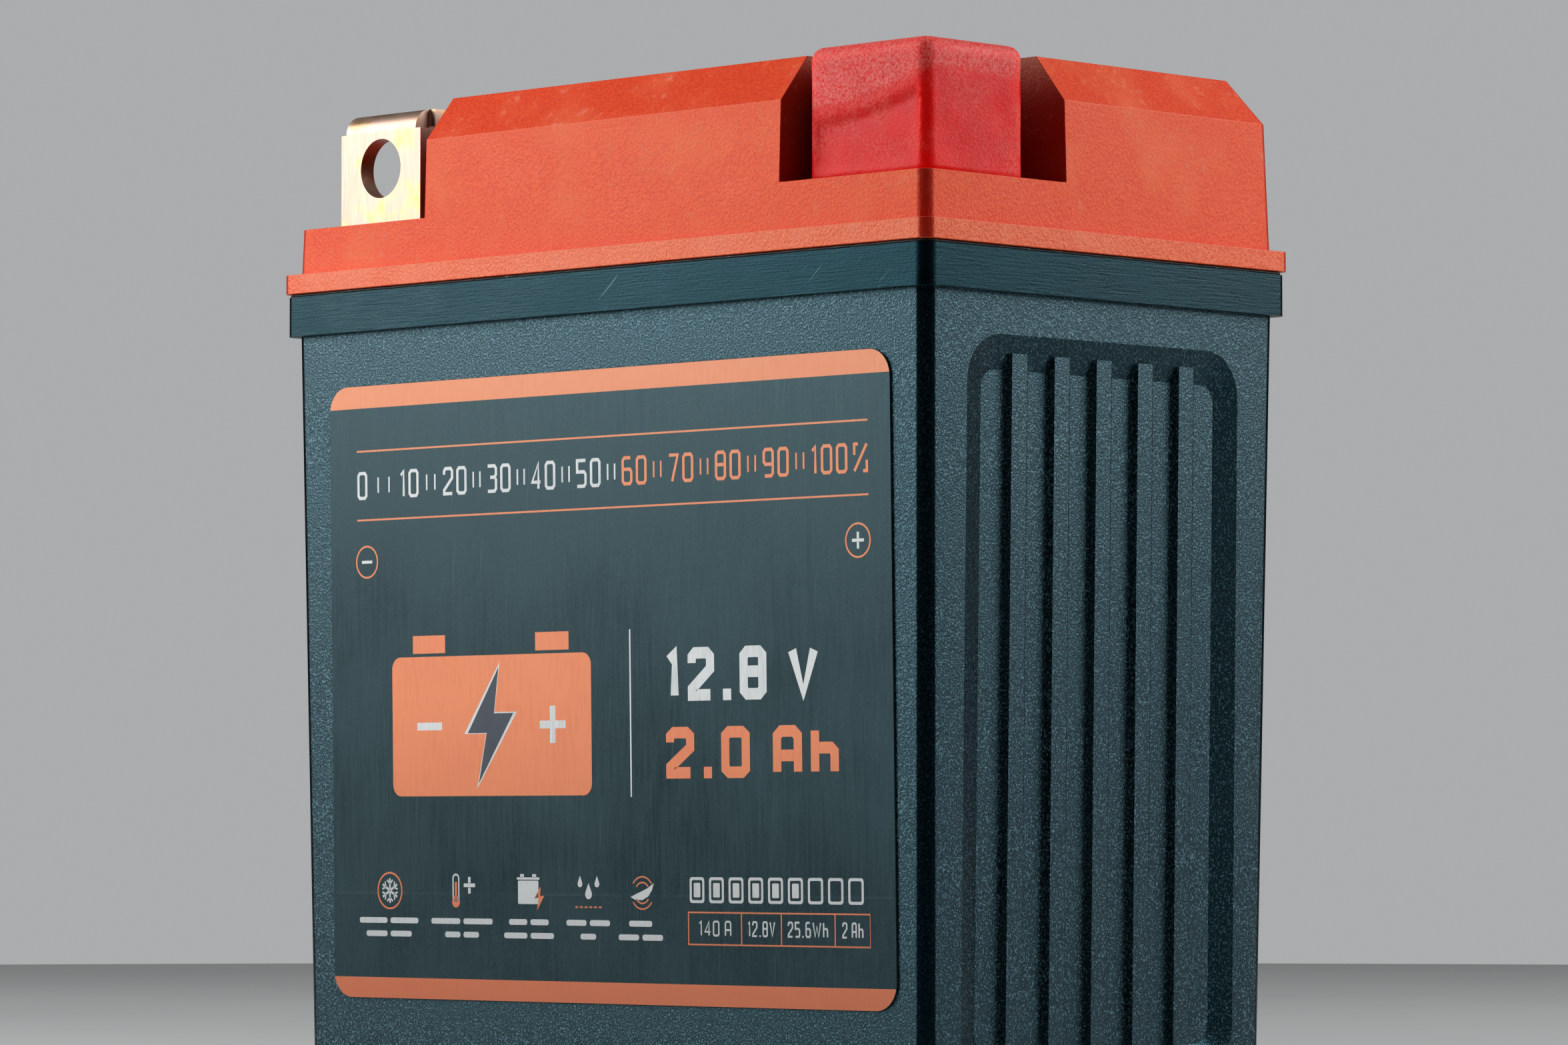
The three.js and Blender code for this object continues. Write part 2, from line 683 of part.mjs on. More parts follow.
// Sense wires drop from the board's back edge to the strap level they measure, high and low in turn.
function buildSenseWires() {
  const { radius, count, pitch, y, fromY, highTap, lowTap } = SENSE_WIRE;
  for (let i = 0; i < count; i++) {
    const x = (i - (count - 1) / 2) * pitch;
    const z = i % 2 ? lowTap : cellTop - highTap;
    const route = [
      [x, fromY, boardTop + 0.8],
      [x, (fromY + y) / 2, boardTop + 1.2],
      [x, y, boardTop - 0.4],
      [x, y, (boardTop + z) / 2],
      [x, y, z],
    ];
    addPart(`sense_wire_${i + 1}`, wire(route, radius, 6, 12), MATERIALS.redLead);
  }
}

function gasketGeometry(side) {
  const under = NOTCH.floor - NOTCH.floorThickness;
  const x = side * TERMINAL.x;
  const half = TERMINAL.legWidth / 2;
  const y1 = TERMINAL.backY;
  const y0 = y1 - TERMINAL.thickness;
  const rim = GASKET.border;
  const block = (grow, low, high) =>
    boxSolid(x - half - grow, x + half + grow, y0 - grow, y1 + grow, low, high);
  const outer = block(rim, under - GASKET.thickness, under);
  return geometryOf(outer.subtract(block(0, under - CUT_OVER, under + CUT_OVER)));
}

// ---------------------------------------------------------------- assembly

addPart("jar", jarGeometry(), MATERIALS.jar);
addPart("lid", lidGeometry(), MATERIALS.lid);
addPart("lid_weld_bead", weldBeadGeometry(), MATERIALS.bead);
addPart("front_label", labelGeometry(), MATERIALS.label);
addPart("negative_terminal", terminalGeometry(-1), MATERIALS.brass);
addPart("positive_terminal", terminalGeometry(1), MATERIALS.brass);
addPart("negative_gasket", gasketGeometry(-1), MATERIALS.gasket);
addPart("positive_gasket", gasketGeometry(1), MATERIALS.gasket);
addPart("terminal_cap", capGeometry(), MATERIALS.cap);
buildCellPack();
buildPadding();
buildBoard();
buildLeads();
buildSenseWires();

export default root;
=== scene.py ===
"""Looks for the motorcycle battery: refined outer pieces, procedural finishes, camera and light.

Lengths are in metres; MM turns the label's and mouldings' millimetres into them.
"""
import json
import math

import bmesh
import bpy
from mathutils import Matrix, Vector, noise


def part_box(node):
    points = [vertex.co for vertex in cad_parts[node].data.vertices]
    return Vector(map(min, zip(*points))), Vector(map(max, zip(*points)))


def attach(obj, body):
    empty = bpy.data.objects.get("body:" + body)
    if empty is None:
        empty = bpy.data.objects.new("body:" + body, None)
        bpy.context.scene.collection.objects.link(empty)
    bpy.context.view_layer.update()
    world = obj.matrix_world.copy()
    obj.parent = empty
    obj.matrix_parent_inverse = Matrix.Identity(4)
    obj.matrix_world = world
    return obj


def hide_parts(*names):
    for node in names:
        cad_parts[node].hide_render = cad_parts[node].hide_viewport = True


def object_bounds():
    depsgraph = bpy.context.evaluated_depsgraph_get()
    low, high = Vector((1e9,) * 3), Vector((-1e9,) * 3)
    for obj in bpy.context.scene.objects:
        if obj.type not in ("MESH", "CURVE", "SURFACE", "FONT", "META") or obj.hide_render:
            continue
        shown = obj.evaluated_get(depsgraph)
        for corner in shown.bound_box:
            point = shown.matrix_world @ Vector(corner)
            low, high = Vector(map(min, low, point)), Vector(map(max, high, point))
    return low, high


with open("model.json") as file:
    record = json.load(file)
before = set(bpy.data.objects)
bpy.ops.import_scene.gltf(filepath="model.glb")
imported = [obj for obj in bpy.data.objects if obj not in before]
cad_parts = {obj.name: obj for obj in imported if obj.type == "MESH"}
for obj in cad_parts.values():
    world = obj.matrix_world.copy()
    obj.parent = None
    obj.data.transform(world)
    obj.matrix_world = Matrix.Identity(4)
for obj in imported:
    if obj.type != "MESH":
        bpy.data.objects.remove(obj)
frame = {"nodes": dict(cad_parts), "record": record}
cad_low, cad_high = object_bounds()
MM = 0.001

# ---------------------------------------------------------------- driving dimensions

HALF_LENGTH = cad_high.x
HALF_WIDTH = cad_high.y
LID_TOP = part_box("lid")[1].z
DRAFT = math.tan(math.radians(0.9))
CORNER = 1.6 * MM
LID_CORNER = 1.4 * MM
CORNER_STEPS = 10
WALL_INSET = 1.15 * MM
JAR_WALL = 2.6 * MM
JAR_FLOOR = 2.5 * MM
RIM_LOW = 85.5 * MM
RIM_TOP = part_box("jar")[1].z
RIM_INSET = HALF_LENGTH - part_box("jar")[1].x
LID_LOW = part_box("lid_weld_bead")[1].z
FLANGE_TOP = 92.4 * MM
NOTCH_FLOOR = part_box("terminal_cap")[0].z
LABEL_LOW, LABEL_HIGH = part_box("front_label")
FOLD_START = 0.51
FOLD_CLIMB = 0.24
FOLD_POWER = 2
FOLD_DEPTH = 0.5 * MM
JAR_EDGE = 0.22 * MM
LID_EDGE = 0.22 * MM
PLATE_EDGE = 0.2 * MM
OVERCUT = 1 * MM
DEEP_CUT = 5 * MM
WELD_DISTANCE = 0.004 * MM
FLAT_ANGLE = math.radians(0.3)


def wall_inset(z):
    """How far the jar's drafted wall stands in from the battery's outline at height z."""
    return WALL_INSET + (RIM_LOW - z) * DRAFT


# ---------------------------------------------------------------- mesh helpers


def outline(u0, u1, v0, v1, radius, steps=CORNER_STEPS):
    """A rounded rectangle's points, anticlockwise."""
    corners = [
        (u1 - radius, v1 - radius),
        (u0 + radius, v1 - radius),
        (u0 + radius, v0 + radius),
        (u1 - radius, v0 + radius),
    ]
    points = []
    for quarter, (u, v) in enumerate(corners):
        for i in range(steps + 1):
            angle = (quarter + i / steps) * math.pi / 2
            points.append((u + radius * math.cos(angle), v + radius * math.sin(angle)))
    return points


def arc_points(u, v, radius, start, end, steps=10):
    """Points along a circle from one angle to another, in degrees."""
    turns = [math.radians(start + (end - start) * i / steps) for i in range(steps + 1)]
    return [(u + radius * math.cos(a), v + radius * math.sin(a)) for a in turns]


def level(points, z):
    """Flat points raised to a height."""
    return [Vector((x, y, z)) for x, y in points]


def ring(z, inset, radius=CORNER, back_inset=None):
    """A level ring of the battery's outline, set in by the same amount on each side."""
    back = HALF_WIDTH - (inset if back_inset is None else back_inset)
    return level(
        outline(inset - HALF_LENGTH, HALF_LENGTH - inset, inset - HALF_WIDTH, back, radius), z
    )


def skin(bm, rows):
    """Joins each closed row of vertices to the next with faces."""
    for low, high in zip(rows, rows[1:]):
        for i in range(len(low)):
            j = (i + 1) % len(low)
            bm.faces.new((low[i], low[j], high[j], high[i]))


def loft(name, rings, close_ends=True):
    """A mesh object skinned over rings of equal length; a closed tube when close_ends is off."""
    bm = bmesh.new()
    rows = [[bm.verts.new(p) for p in points] for points in rings]
    if close_ends:
        skin(bm, rows)
        bm.faces.new(rows[0][::-1])
        bm.faces.new(rows[-1])
    else:
        skin(bm, rows + rows[:1])
    bmesh.ops.recalc_face_normals(bm, faces=bm.faces)
    return mesh_object(name, bm)


def mesh_object(name, bm):
    mesh = bpy.data.meshes.new(name)
    bm.to_mesh(mesh)
    bm.free()
    piece = bpy.data.objects.new(name, mesh)
    bpy.context.scene.collection.objects.link(piece)
    return piece


def prism(name, low, high, radius=0.3 * MM, steps=4):
    """An upright block with rounded vertical edges."""
    flat = outline(low[0], high[0], low[1], high[1], radius, steps)
    return loft(name, [level(flat, low[2]), level(flat, high[2])])


def rod(name, start, end, radius, steps=48):
    """A round bar between two points, used as a cutter."""
    axis = (end - start).normalized()
    side = axis.orthogonal().normalized()
    other = axis.cross(side)
    rings = []
    for centre in (start, end):
        turns = [2 * math.pi * i / steps for i in range(steps)]
        rings.append([centre + radius * (math.cos(a) * side + math.sin(a) * other) for a in turns])
    return loft(name, rings)


def settle(piece):
    """Applies a piece's modifiers to its mesh."""
    graph = bpy.context.evaluated_depsgraph_get()
    mesh = bpy.data.meshes.new_from_object(piece.evaluated_get(graph))
    piece.modifiers.clear()
    old = piece.data
    piece.data = mesh
    bpy.data.meshes.remove(old)


def combine(piece, tools, operation):
    """Cuts or joins each tool into the piece, and removes the tool."""
    for tool in tools:
        boolean = piece.modifiers.new("boolean", "BOOLEAN")
        boolean.operation = operation
        boolean.solver = "EXACT"
        boolean.object = tool
        settle(piece)
        bpy.data.objects.remove(tool)


def soften(piece, width, segments, angle):
    """Rounds a piece's edges and shades it smooth with crisp flats."""
    bm = bmesh.new()
    bm.from_mesh(piece.data)
    bmesh.ops.remove_doubles(bm, verts=bm.verts, dist=WELD_DISTANCE)
    bmesh.ops.dissolve_limit(bm, angle_limit=FLAT_ANGLE, verts=bm.verts, edges=bm.edges)
    bm.to_mesh(piece.data)
    bm.free()
    bevel = piece.modifiers.new("bevel", "BEVEL")
    bevel.width = width
    bevel.segments = segments
    bevel.limit_method = "ANGLE"
    bevel.angle_limit = math.radians(angle)
    bevel.harden_normals = True
    bevel.miter_outer = "MITER_ARC"
    smooth(piece)
    settle(piece)


def paint(piece, *materials):
    for material in materials:
        piece.data.materials.append(material)


def smooth(piece, angle=40):
    """Shades a piece smooth, apart from its edges sharper than an angle in degrees."""
    for face in piece.data.polygons:
        face.use_smooth = True
    piece.data.set_sharp_from_angle(angle=math.radians(angle))


# ---------------------------------------------------------------- finishes


def fill(socket, value):
    """Sets a socket to a value, or links it to the socket that feeds it."""
    if isinstance(value, bpy.types.NodeSocket):
        socket.id_data.links.new(value, socket)
    else:
        socket.default_value = value


def add_node(tree, kind, inputs=None, **settings):
    """A new node with its settings, and with its inputs filled by name or number."""
    made = tree.nodes.new(kind)
    for key, value in settings.items():
        setattr(made, key, value)
    for key, value in (inputs or {}).items():
        fill(made.inputs[key], value)
    return made


class Finish:
    """A material with short calls for the texture nodes that the finishes here share."""

    def __init__(self, name, metallic=0.0):
        self.material = bpy.data.materials.new(name)
        self.material.use_nodes = True
        self.tree = self.material.node_tree
        self.set("Metallic", metallic)
        self.place = self.node("ShaderNodeTexCoord").outputs["Object"]
        self.axes = self.split(self.place)

    def node(self, kind, inputs=None, **settings):
        return add_node(self.tree, kind, inputs, **settings)

    def set(self, socket, value):
        fill(self.tree.nodes["Principled BSDF"].inputs[socket], value)

    def shine(self, strength, tint):
        """How strongly the skin mirrors, and the mirror's colour."""
        self.set("Specular IOR Level", strength)
        self.set("Specular Tint", (*tint, 1))

    def split(self, vector):
        return self.node("ShaderNodeSeparateXYZ", {0: vector}).outputs

    def texture(self, mapping, kind, dimensions, detail, roughness=0.5):
        """Noise over coordinates moved, turned and scaled by a mapping."""
        place = self.node("ShaderNodeMapping", mapping, vector_type=kind).outputs["Vector"]
        inputs = {"Vector": place, "Scale": 1.0, "Detail": detail, "Roughness": roughness}
        return self.node("ShaderNodeTexNoise", inputs, noise_dimensions=dimensions).outputs["Fac"]

    def noise(self, size, detail=2.0, stretch=(1, 1, 1), roughness=0.5, offset=0.0):
        """Noise from 0 to 1 with features of about a size, longer along a stretched axis."""
        sizes = [1 / (size * s) for s in stretch]
        mapping = {"Vector": self.place, "Scale": sizes, "Location": (offset, offset, offset)}
        return self.texture(mapping, "POINT", "3D", detail, roughness)

    def scale(self, source, low, high, to_low=0.0, to_high=1.0):
        """Maps the source from low..high to to_low..to_high, clamped."""
        inputs = dict(enumerate((source, low, high, to_low, to_high)))
        return self.node("ShaderNodeMapRange", inputs, clamp=True).outputs["Result"]

    def math(self, operation, first, second=0):
        inputs = {0: first, 1: second}
        return self.node("ShaderNodeMath", inputs, operation=operation).outputs["Value"]

    def times(self, first, second):
        return self.math("MULTIPLY", first, second)

    def plus(self, first, second):
        return self.math("ADD", first, second)

    def mix(self, factor, first, second):
        """Blends two colours, each a triple or a socket."""
        first, second = ((*c, 1) if isinstance(c, tuple) else c for c in (first, second))
        inputs = {0: factor, 6: first, 7: second}
        return self.node("ShaderNodeMix", inputs, data_type="RGBA").outputs[2]

    def unrolled(self):
        """Coordinates that run along any upright face and up it, for scratches in the face."""
        across = self.plus(self.axes["X"], self.axes["Y"])
        inputs = {"X": across, "Y": self.axes["Z"]}
        return self.node("ShaderNodeCombineXYZ", inputs).outputs[0]

    def streaks(self, around, lean, width, length, low, high):
        """Sparse hairlines, white on black, that lean from upright by an angle in degrees."""
        turn = (0, 0, -math.radians(lean))
        mapping = {"Vector": around, "Rotation": turn, "Scale": (width, length, 1)}
        return self.scale(self.texture(mapping, "TEXTURE", "2D", 1.0), low, high)

    def within(self, axis, low, high, fade):
        """1 inside a span of an axis, easing to 0 just outside it."""
        rising = self.scale(self.axes[axis], low - fade / 2, low + fade / 2)
        falling = self.scale(self.axes[axis], high - fade / 2, high + fade / 2, 1, 0)
        return self.times(rising, falling)

    def above_crease(self):
        """1 above the crease across the cap's front, easing to 0 below it."""
        low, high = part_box("terminal_cap")
        along = self.scale(self.axes["X"], low.x, high.x)
        climb = self.times(self.math("POWER", along, FOLD_POWER), FOLD_CLIMB)
        crease = self.plus(climb, FOLD_START)
        up = self.scale(self.axes["Z"], low.z, high.z)
        return self.scale(self.math("SUBTRACT", up, crease), -0.02, 0.06)

    def corner(self):
        """1 on the turn of an upright corner, easing to 0 on the flat walls beside it; the rim and
        lid paint shade on their corners with it.
        """
        facing = self.split(self.node("ShaderNodeNewGeometry").outputs["True Normal"])
        turn = self.math("ABSOLUTE", self.times(facing["X"], facing["Y"]))
        return self.scale(turn, 0.08, 0.30)

    def rise(self, low, high, to_low, to_high):
        """A value that changes with height between two levels."""
        return self.scale(self.axes["Z"], low, high, to_low, to_high)

    def level_line(self, height, width):
        """A narrow ridge round the battery, 1 at a height and 0 beyond its width."""
        away = self.math("ABSOLUTE", self.math("SUBTRACT", self.axes["Z"], height))
        return self.scale(away, 0, width, 1, 0)

    def bump(self, height, distance, strength=1.0):
        inputs = {"Height": height, "Distance": distance, "Strength": strength}
        self.set("Normal", self.node("ShaderNodeBump", inputs).outputs["Normal"])


def jar_grain_finish(name, shade_and_smoothness, shine, tint):
    """Near-black spark-eroded plastic: the grain sparkles; for the slope and corner copies it fades
    towards near-black as painted shade, on a smoother skin.
    """
    f = Finish(name)
    grain = f.noise(0.22 * MM, 1, roughness=0.6)
    coarse = f.noise(0.6 * MM, 2, offset=3)
    rubs = f.scale(f.noise(16 * MM, 4), 0.45, 0.75, 0, 0.5)
    color = f.mix(f.scale(grain, 0.42, 0.60), (0.001, 0.004, 0.006), (0.020, 0.044, 0.054))
    color = f.mix(f.scale(grain, 0.57, 0.68), color, (0.12, 0.22, 0.255))
    color = f.mix(rubs, color, (0.016, 0.034, 0.042))
    # Painted shade: the darker copies are mixed towards near-black by their amount.
    f.set("Base Color", f.mix(shade_and_smoothness, color, (0.0005, 0.0022, 0.0030)))
    polish = 0.07 * shade_and_smoothness
    gloss = f.scale(grain, 0.35, 0.7, 0.42 - polish, 0.24 - polish)
    f.set("Roughness", f.plus(gloss, f.rise(RECESS_LOW, RIM_LOW, -0.06, 0.02)))
    relief = f.plus(grain, f.times(coarse, 0.25))
    f.bump(relief, 0.055 * MM, 1 - 0.7 * shade_and_smoothness)
    f.shine(shine, tint)
    return f.material


def rim_finish():
    """The jar's smooth rim band, with fine scratches along it and a few across, and painted shade
    on its corners.
    """
    f = Finish("jar_rim")
    around = f.unrolled()
    scratches = f.noise(0.16 * MM, 4, stretch=(30, 30, 1), offset=7)
    strays = f.streaks(around, 50, 0.25 * MM, 8 * MM, 0.79, 0.85)
    smudges = f.noise(5 * MM, 4, offset=2)
    grain = f.noise(0.35 * MM, 2)
    color = f.mix(f.scale(smudges, 0.35, 0.7), (0.001, 0.008, 0.011), (0.004, 0.022, 0.028))
    color = f.mix(f.scale(scratches, 0.60, 0.8, 0, 0.5), color, (0.05, 0.10, 0.115))
    color = f.mix(f.times(strays, 0.6), color, (0.24, 0.30, 0.32))
    # Painted shade: the rim darkens to near-black on its upright corners.
    f.set("Base Color", f.mix(f.corner(), color, (0.0005, 0.0008, 0.0012)))
    marks = f.scale(scratches, 0.58, 0.72, 0, 0.2)
    f.set("Roughness", f.plus(f.scale(smudges, 0.3, 0.7, 0.26, 0.40), marks))
    f.bump(f.plus(scratches, f.times(grain, 0.8)), 0.03 * MM, 0.8)
    f.shine(0.28, (0.06, 0.64, 0.86))
    return f.material


def lid_finish(name, dark, light, veil, roughness, shine):
    """Orange lid plastic: matt fine grain, handling smudges and small scratches, with painted shade
    in the terminal notches and on the upright corners.
    """
    f = Finish(name)
    around = f.unrolled()
    grain = f.noise(0.34 * MM, 3, roughness=0.65)
    smudges = f.noise(9 * MM, 4, offset=5)
    scuffs = f.noise(1.1 * MM, 5, offset=31)
    hairs = f.math(
        "MAXIMUM",
        f.streaks(around, -55, 0.22 * MM, 4 * MM, 0.78, 0.85),
        f.streaks(around, 75, 0.20 * MM, 6 * MM, 0.81, 0.87),
    )
    fade = 0.1 * MM
    hairs = f.times(hairs, f.within("Z", LID_LOW, CHAMFER_LOW, fade))
    color = f.mix(f.scale(grain, 0.35, 0.68), dark, light)
    color = f.mix(f.scale(smudges, 0.48, 0.72, 0, 0.55), color, veil)
    worn = f.times(f.scale(scuffs, 0.58, 0.72), f.scale(smudges, 0.42, 0.6))
    worn = f.math("MAXIMUM", f.times(worn, 0.3), f.times(hairs, 0.5))
    # Painted shade: the walls and floor of each terminal notch turn deep red-black.
    notch = f.within("Y", -HALF_WIDTH, NOTCH_BACK_Y + fade / 2, fade)
    inner = NOTCH_INNER_X - fade / 2
    notch = f.times(notch, f.math("SUBTRACT", 1, f.within("X", -inner, inner, fade)))
    notch = f.times(notch, f.within("Z", NOTCH_FLOOR + fade, LID_TOP + OVERCUT, fade))
    color = f.mix(f.times(notch, 0.88), color, (0.13, 0.001, 0.0005))
    worn = f.times(worn, f.math("SUBTRACT", 1, f.times(notch, 0.7)))
    color = f.mix(worn, color, (0.95, 0.50, 0.36))
    # Painted shade: the upright corners are mixed towards dark red.
    f.set("Base Color", f.mix(f.times(f.corner(), 0.9), color, (0.42, 0.002, 0.0005)))
    gloss = f.scale(smudges, 0.3, 0.7, roughness - 0.05, roughness + 0.06)
    f.set("Roughness", f.plus(gloss, worn))
    f.bump(f.plus(grain, f.times(worn, 0.5)), 0.07 * MM, 0.9)
    f.shine(shine, (1.0, 0.72, 0.45))
    return f.material


def bead_finish():
    """Black squeezed-out plastic with orange smears and a few pale flecks."""
    f = Finish("weld_bead_black")
    f.set("Roughness", 0.6)
    lumps = f.noise(0.8 * MM, 3)
    flecks = f.scale(f.noise(0.5 * MM, 3, stretch=(4, 4, 1), offset=17), 0.66, 0.72, 0, 0.6)
    color = f.mix(f.scale(lumps, 0.4, 0.65), (0.002, 0.003, 0.004), (0.05, 0.012, 0.008))
    f.set("Base Color", f.mix(flecks, color, (0.55, 0.55, 0.52)))
    f.bump(lumps, 0.1 * MM)
    return f.material


def brass_finish():
    """Gold-toned plated strip with a faint brushed grain and a tarnish bloom."""
    f = Finish("terminal_gold", 1.0)
    brushed = f.noise(0.12 * MM, 3, stretch=(1, 1, 25))
    bloom = f.scale(f.noise(3.4 * MM, 5, offset=4.3), 0.50, 0.66)
    f.set("Base Color", f.mix(bloom, (0.48, 0.325, 0.255), (0.45, 0.27, 0.12)))
    gloss = f.scale(bloom, 0, 1, 0.40, 0.30)
    f.set("Roughness", f.plus(gloss, f.scale(brushed, 0.3, 0.7, 0, 0.08)))
    f.bump(brushed, 0.012 * MM, 0.6)
    return f.material


def cap_finish():
    """Soft red vinyl that glows through, frosted and scuffed, with painted shade where the terminal
    backs it and a painted pale sheen above the crease.
    """
    f = Finish("cap_red_vinyl")
    frost = f.noise(0.30 * MM, 3, roughness=0.7)
    scuffs = f.scale(f.noise(4.5 * MM, 5, offset=9), 0.42, 0.64)
    color = f.mix(f.scale(frost, 0.35, 0.7), (0.92, 0.003, 0.003), (1.0, 0.016, 0.012))
    # Painted shade of the terminal behind the vinyl, in blotches, on the front and end faces below
    # its top.
    low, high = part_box("positive_terminal")
    reach = 1.6 * MM
    behind_front = f.within("X", low.x, high.x, reach)
    behind_end = f.within("Y", low.y, high.y, reach)
    below_top = f.within("Z", 0, high.z, reach)
    behind = f.times(f.math("MAXIMUM", behind_front, behind_end), below_top)
    blotches = f.scale(f.noise(5 * MM, 3, offset=21), 0.30, 0.60)
    shade = f.times(behind, blotches)
    color = f.mix(f.times(shade, 0.45), color, (0.58, 0.004, 0.006))
    # Pale pink speckles: scuffs, and a painted sheen on the face above the crease.
    pale = f.math("MAXIMUM", f.times(scuffs, 0.5), f.above_crease())
    speckled = f.times(pale, f.scale(frost, 0.36, 0.62))
    f.set("Base Color", f.mix(f.times(speckled, 0.55), color, (1.0, 0.36, 0.31)))
    f.set("Roughness", f.scale(scuffs, 0, 1, 0.36, 0.50))
    f.bump(frost, 0.07 * MM, 0.9)
    f.set("Subsurface Weight", 0.6)
    f.set("Subsurface Radius", (1.0, 0.03, 0.03))
    f.set("Subsurface Scale", 2.0 * MM)
    f.shine(0.30, (1.0, 0.24, 0.22))
    return f.material


def film_finish():
    """The label's dark film: a faint upright weave, creases, rubs and a soft sheen."""
    f = Finish("label_film")
    around = f.unrolled()
    fibres = f.noise(0.35 * MM, 3, stretch=(1, 1, 16))
    creases = f.noise(2.0 * MM, 4, stretch=(1, 1, 12), offset=6)
    specks = f.noise(0.30 * MM, 2, offset=15)
    rubs = f.noise(15 * MM, 4, offset=1)
    color = f.mix(f.scale(rubs, 0.35, 0.7), (0.002, 0.008, 0.010), (0.007, 0.018, 0.022))
    color = f.mix(f.scale(specks, 0.45, 0.75, 0, 0.5), color, (0.018, 0.038, 0.046))
    color = f.mix(f.scale(creases, 0.60, 0.72, 0, 0.6), color, (0.002, 0.004, 0.007))
    scratches = f.streaks(around, 4, 0.16 * MM, 12 * MM, 0.76, 0.84)
    f.set("Base Color", f.mix(f.times(scratches, 0.25), color, (0.16, 0.20, 0.22)))
    gloss = f.scale(f.plus(fibres, rubs), 0.7, 1.3, 0.31, 0.43)
    f.set("Roughness", f.plus(gloss, f.rise(RECESS_LOW, 70 * MM, -0.10, 0.0)))
    fold = f.level_line(FOLD_Z, 0.25 * MM)
    relief = f.plus(f.times(fibres, 0.25), creases)
    f.bump(f.plus(relief, f.times(fold, 0.25)), 0.06 * MM, 0.7)
    f.shine(0.50, (0.44, 0.88, 1.0))
    return f.material


def ink_finish(name, color, worn_color):
    """Label print: worn in patches, with painted shade that darkens it low down and a painted
    highlight that pales it near the top.
    """
    f = Finish(name)
    wear = f.noise(0.5 * MM, 4, stretch=(1, 1, 6), offset=8)
    patches = f.noise(9 * MM, 3, offset=12)
    blend = f.scale(f.plus(wear, patches), 0.95, 1.35)
    # Painted light: a darker copy of the ink for painted shade low down, and a paler copy for a
    # painted highlight near the top.
    shaded_ink = tuple(channel ** 1.25 * 0.5 for channel in color)
    pale = tuple(channel ** 0.88 for channel in color)
    inked = f.mix(blend, color, worn_color)
    inked = f.mix(f.rise(60 * MM, 80 * MM, 0.0, 0.8), inked, pale)
    f.set("Base Color", f.mix(f.rise(RECESS_LOW, 45 * MM, 0.95, 0.0), inked, shaded_ink))
    f.set("Roughness", f.scale(wear, 0.3, 0.7, 0.34, 0.50))
    f.bump(wear, 0.01 * MM, 0.5)
    return f.material


def simple_finish(name, color, second, roughness, size, metallic=0.0):
    """A two-tone textured finish for the pieces inside."""
    f = Finish(name, metallic)
    texture = f.noise(size, 3)
    f.set("Base Color", f.mix(f.scale(texture, 0.35, 0.65), color, second))
    f.set("Roughness", f.scale(texture, 0.3, 0.7, roughness * 0.85, min(1, roughness * 1.15)))
    f.bump(texture, size * 0.1, 0.5)
    return f.material


def floor_finish():
    """Matt pale grey with a faint uneven tone."""
    f = Finish("studio_floor")
    f.set("Roughness", 0.7)
    tone = f.noise(0.15, 3)
    f.set("Base Color", f.mix(f.scale(tone, 0.3, 0.7), (0.49, 0.49, 0.488), (0.53, 0.53, 0.525)))
    return f.material


# ---------------------------------------------------------------- jar

RECESS_HALF_WIDTH = 21.1 * MM
RECESS_LOW = 5 * MM
RECESS_HIGH = 81.2 * MM
RECESS_SLOPE = 3.0 * MM
RECESS_TOP_SLOPE = 3.6 * MM
RECESS_DEPTH = 0.9 * MM
RECESS_CORNER = 5.0 * MM
RIB_WIDTH = 2.7 * MM
RIB_PITCH = 6.5 * MM
RIB_HEIGHT = 0.84 * MM
RIB_ROUND = 0.5 * MM
RIB_ROUND_STEPS = 8
RIB_LOW = 6.4 * MM
RIB_HIGH = 79.3 * MM
RIB_ROOT = 0.6 * MM
RIB_FIRST_Y = -12.95 * MM
RIB_COUNT = 5
FOOT = 0.8 * MM
INNER_CORNER = 1.2 * MM
# The jar's material slots: its rim, then the slope and corner copies, which are darker and less
# shiny as painted shade.
RIM, SLOPE, TURN = 1, 2, 3


def onto_end(piece, side):
    """Leans a piece made at the +X end at the base's inset to the drafted wall, or mirrors it."""
    for vertex in piece.data.vertices:
        vertex.co.x += vertex.co.z * DRAFT
    if side < 0:
        piece.data.transform(Matrix.Rotation(math.pi, 4, "Z"))


def recess_cutter(side):
    """The sunk panel of one end, with a sloping border."""
    face = HALF_LENGTH - wall_inset(0)
    rings = []
    for x, side_inset, top_inset in (
        (face + OVERCUT, 0.0, 0.0),
        (face, 0.0, 0.0),
        (face - RECESS_DEPTH, RECESS_SLOPE, RECESS_TOP_SLOPE),
    ):
        half = RECESS_HALF_WIDTH - side_inset
        radius = RECESS_CORNER - side_inset
        flat = outline(-half, half, RECESS_LOW + side_inset, RECESS_HIGH - top_inset, radius)
        rings.append([Vector((x, y, z)) for y, z in flat])
    cutter = loft("recess_cutter", rings)
    onto_end(cutter, side)
    return cutter


def make_rib(side, index):
    """One upright rib: a crisp edge towards the front, a rounded one towards the back."""
    y = RIB_FIRST_Y + index * RIB_PITCH
    floor = HALF_LENGTH - wall_inset(0) - RECESS_DEPTH
    root = floor - RIB_ROOT
    crown = floor + RIB_HEIGHT
    left = y - RIB_WIDTH / 2
    right = y + RIB_WIDTH / 2
    plan = [(root, left), (root, right)]
    for i in range(RIB_ROUND_STEPS + 1):
        turn = i / RIB_ROUND_STEPS * math.pi / 2
        x = crown - RIB_ROUND * (1 - math.sin(turn))
        plan.append((x, right - RIB_ROUND * (1 - math.cos(turn))))
    plan.append((crown, left))
    bar = loft("rib", [level(plan, RIB_LOW), level(plan, RIB_HIGH)])
    onto_end(bar, side)
    return bar


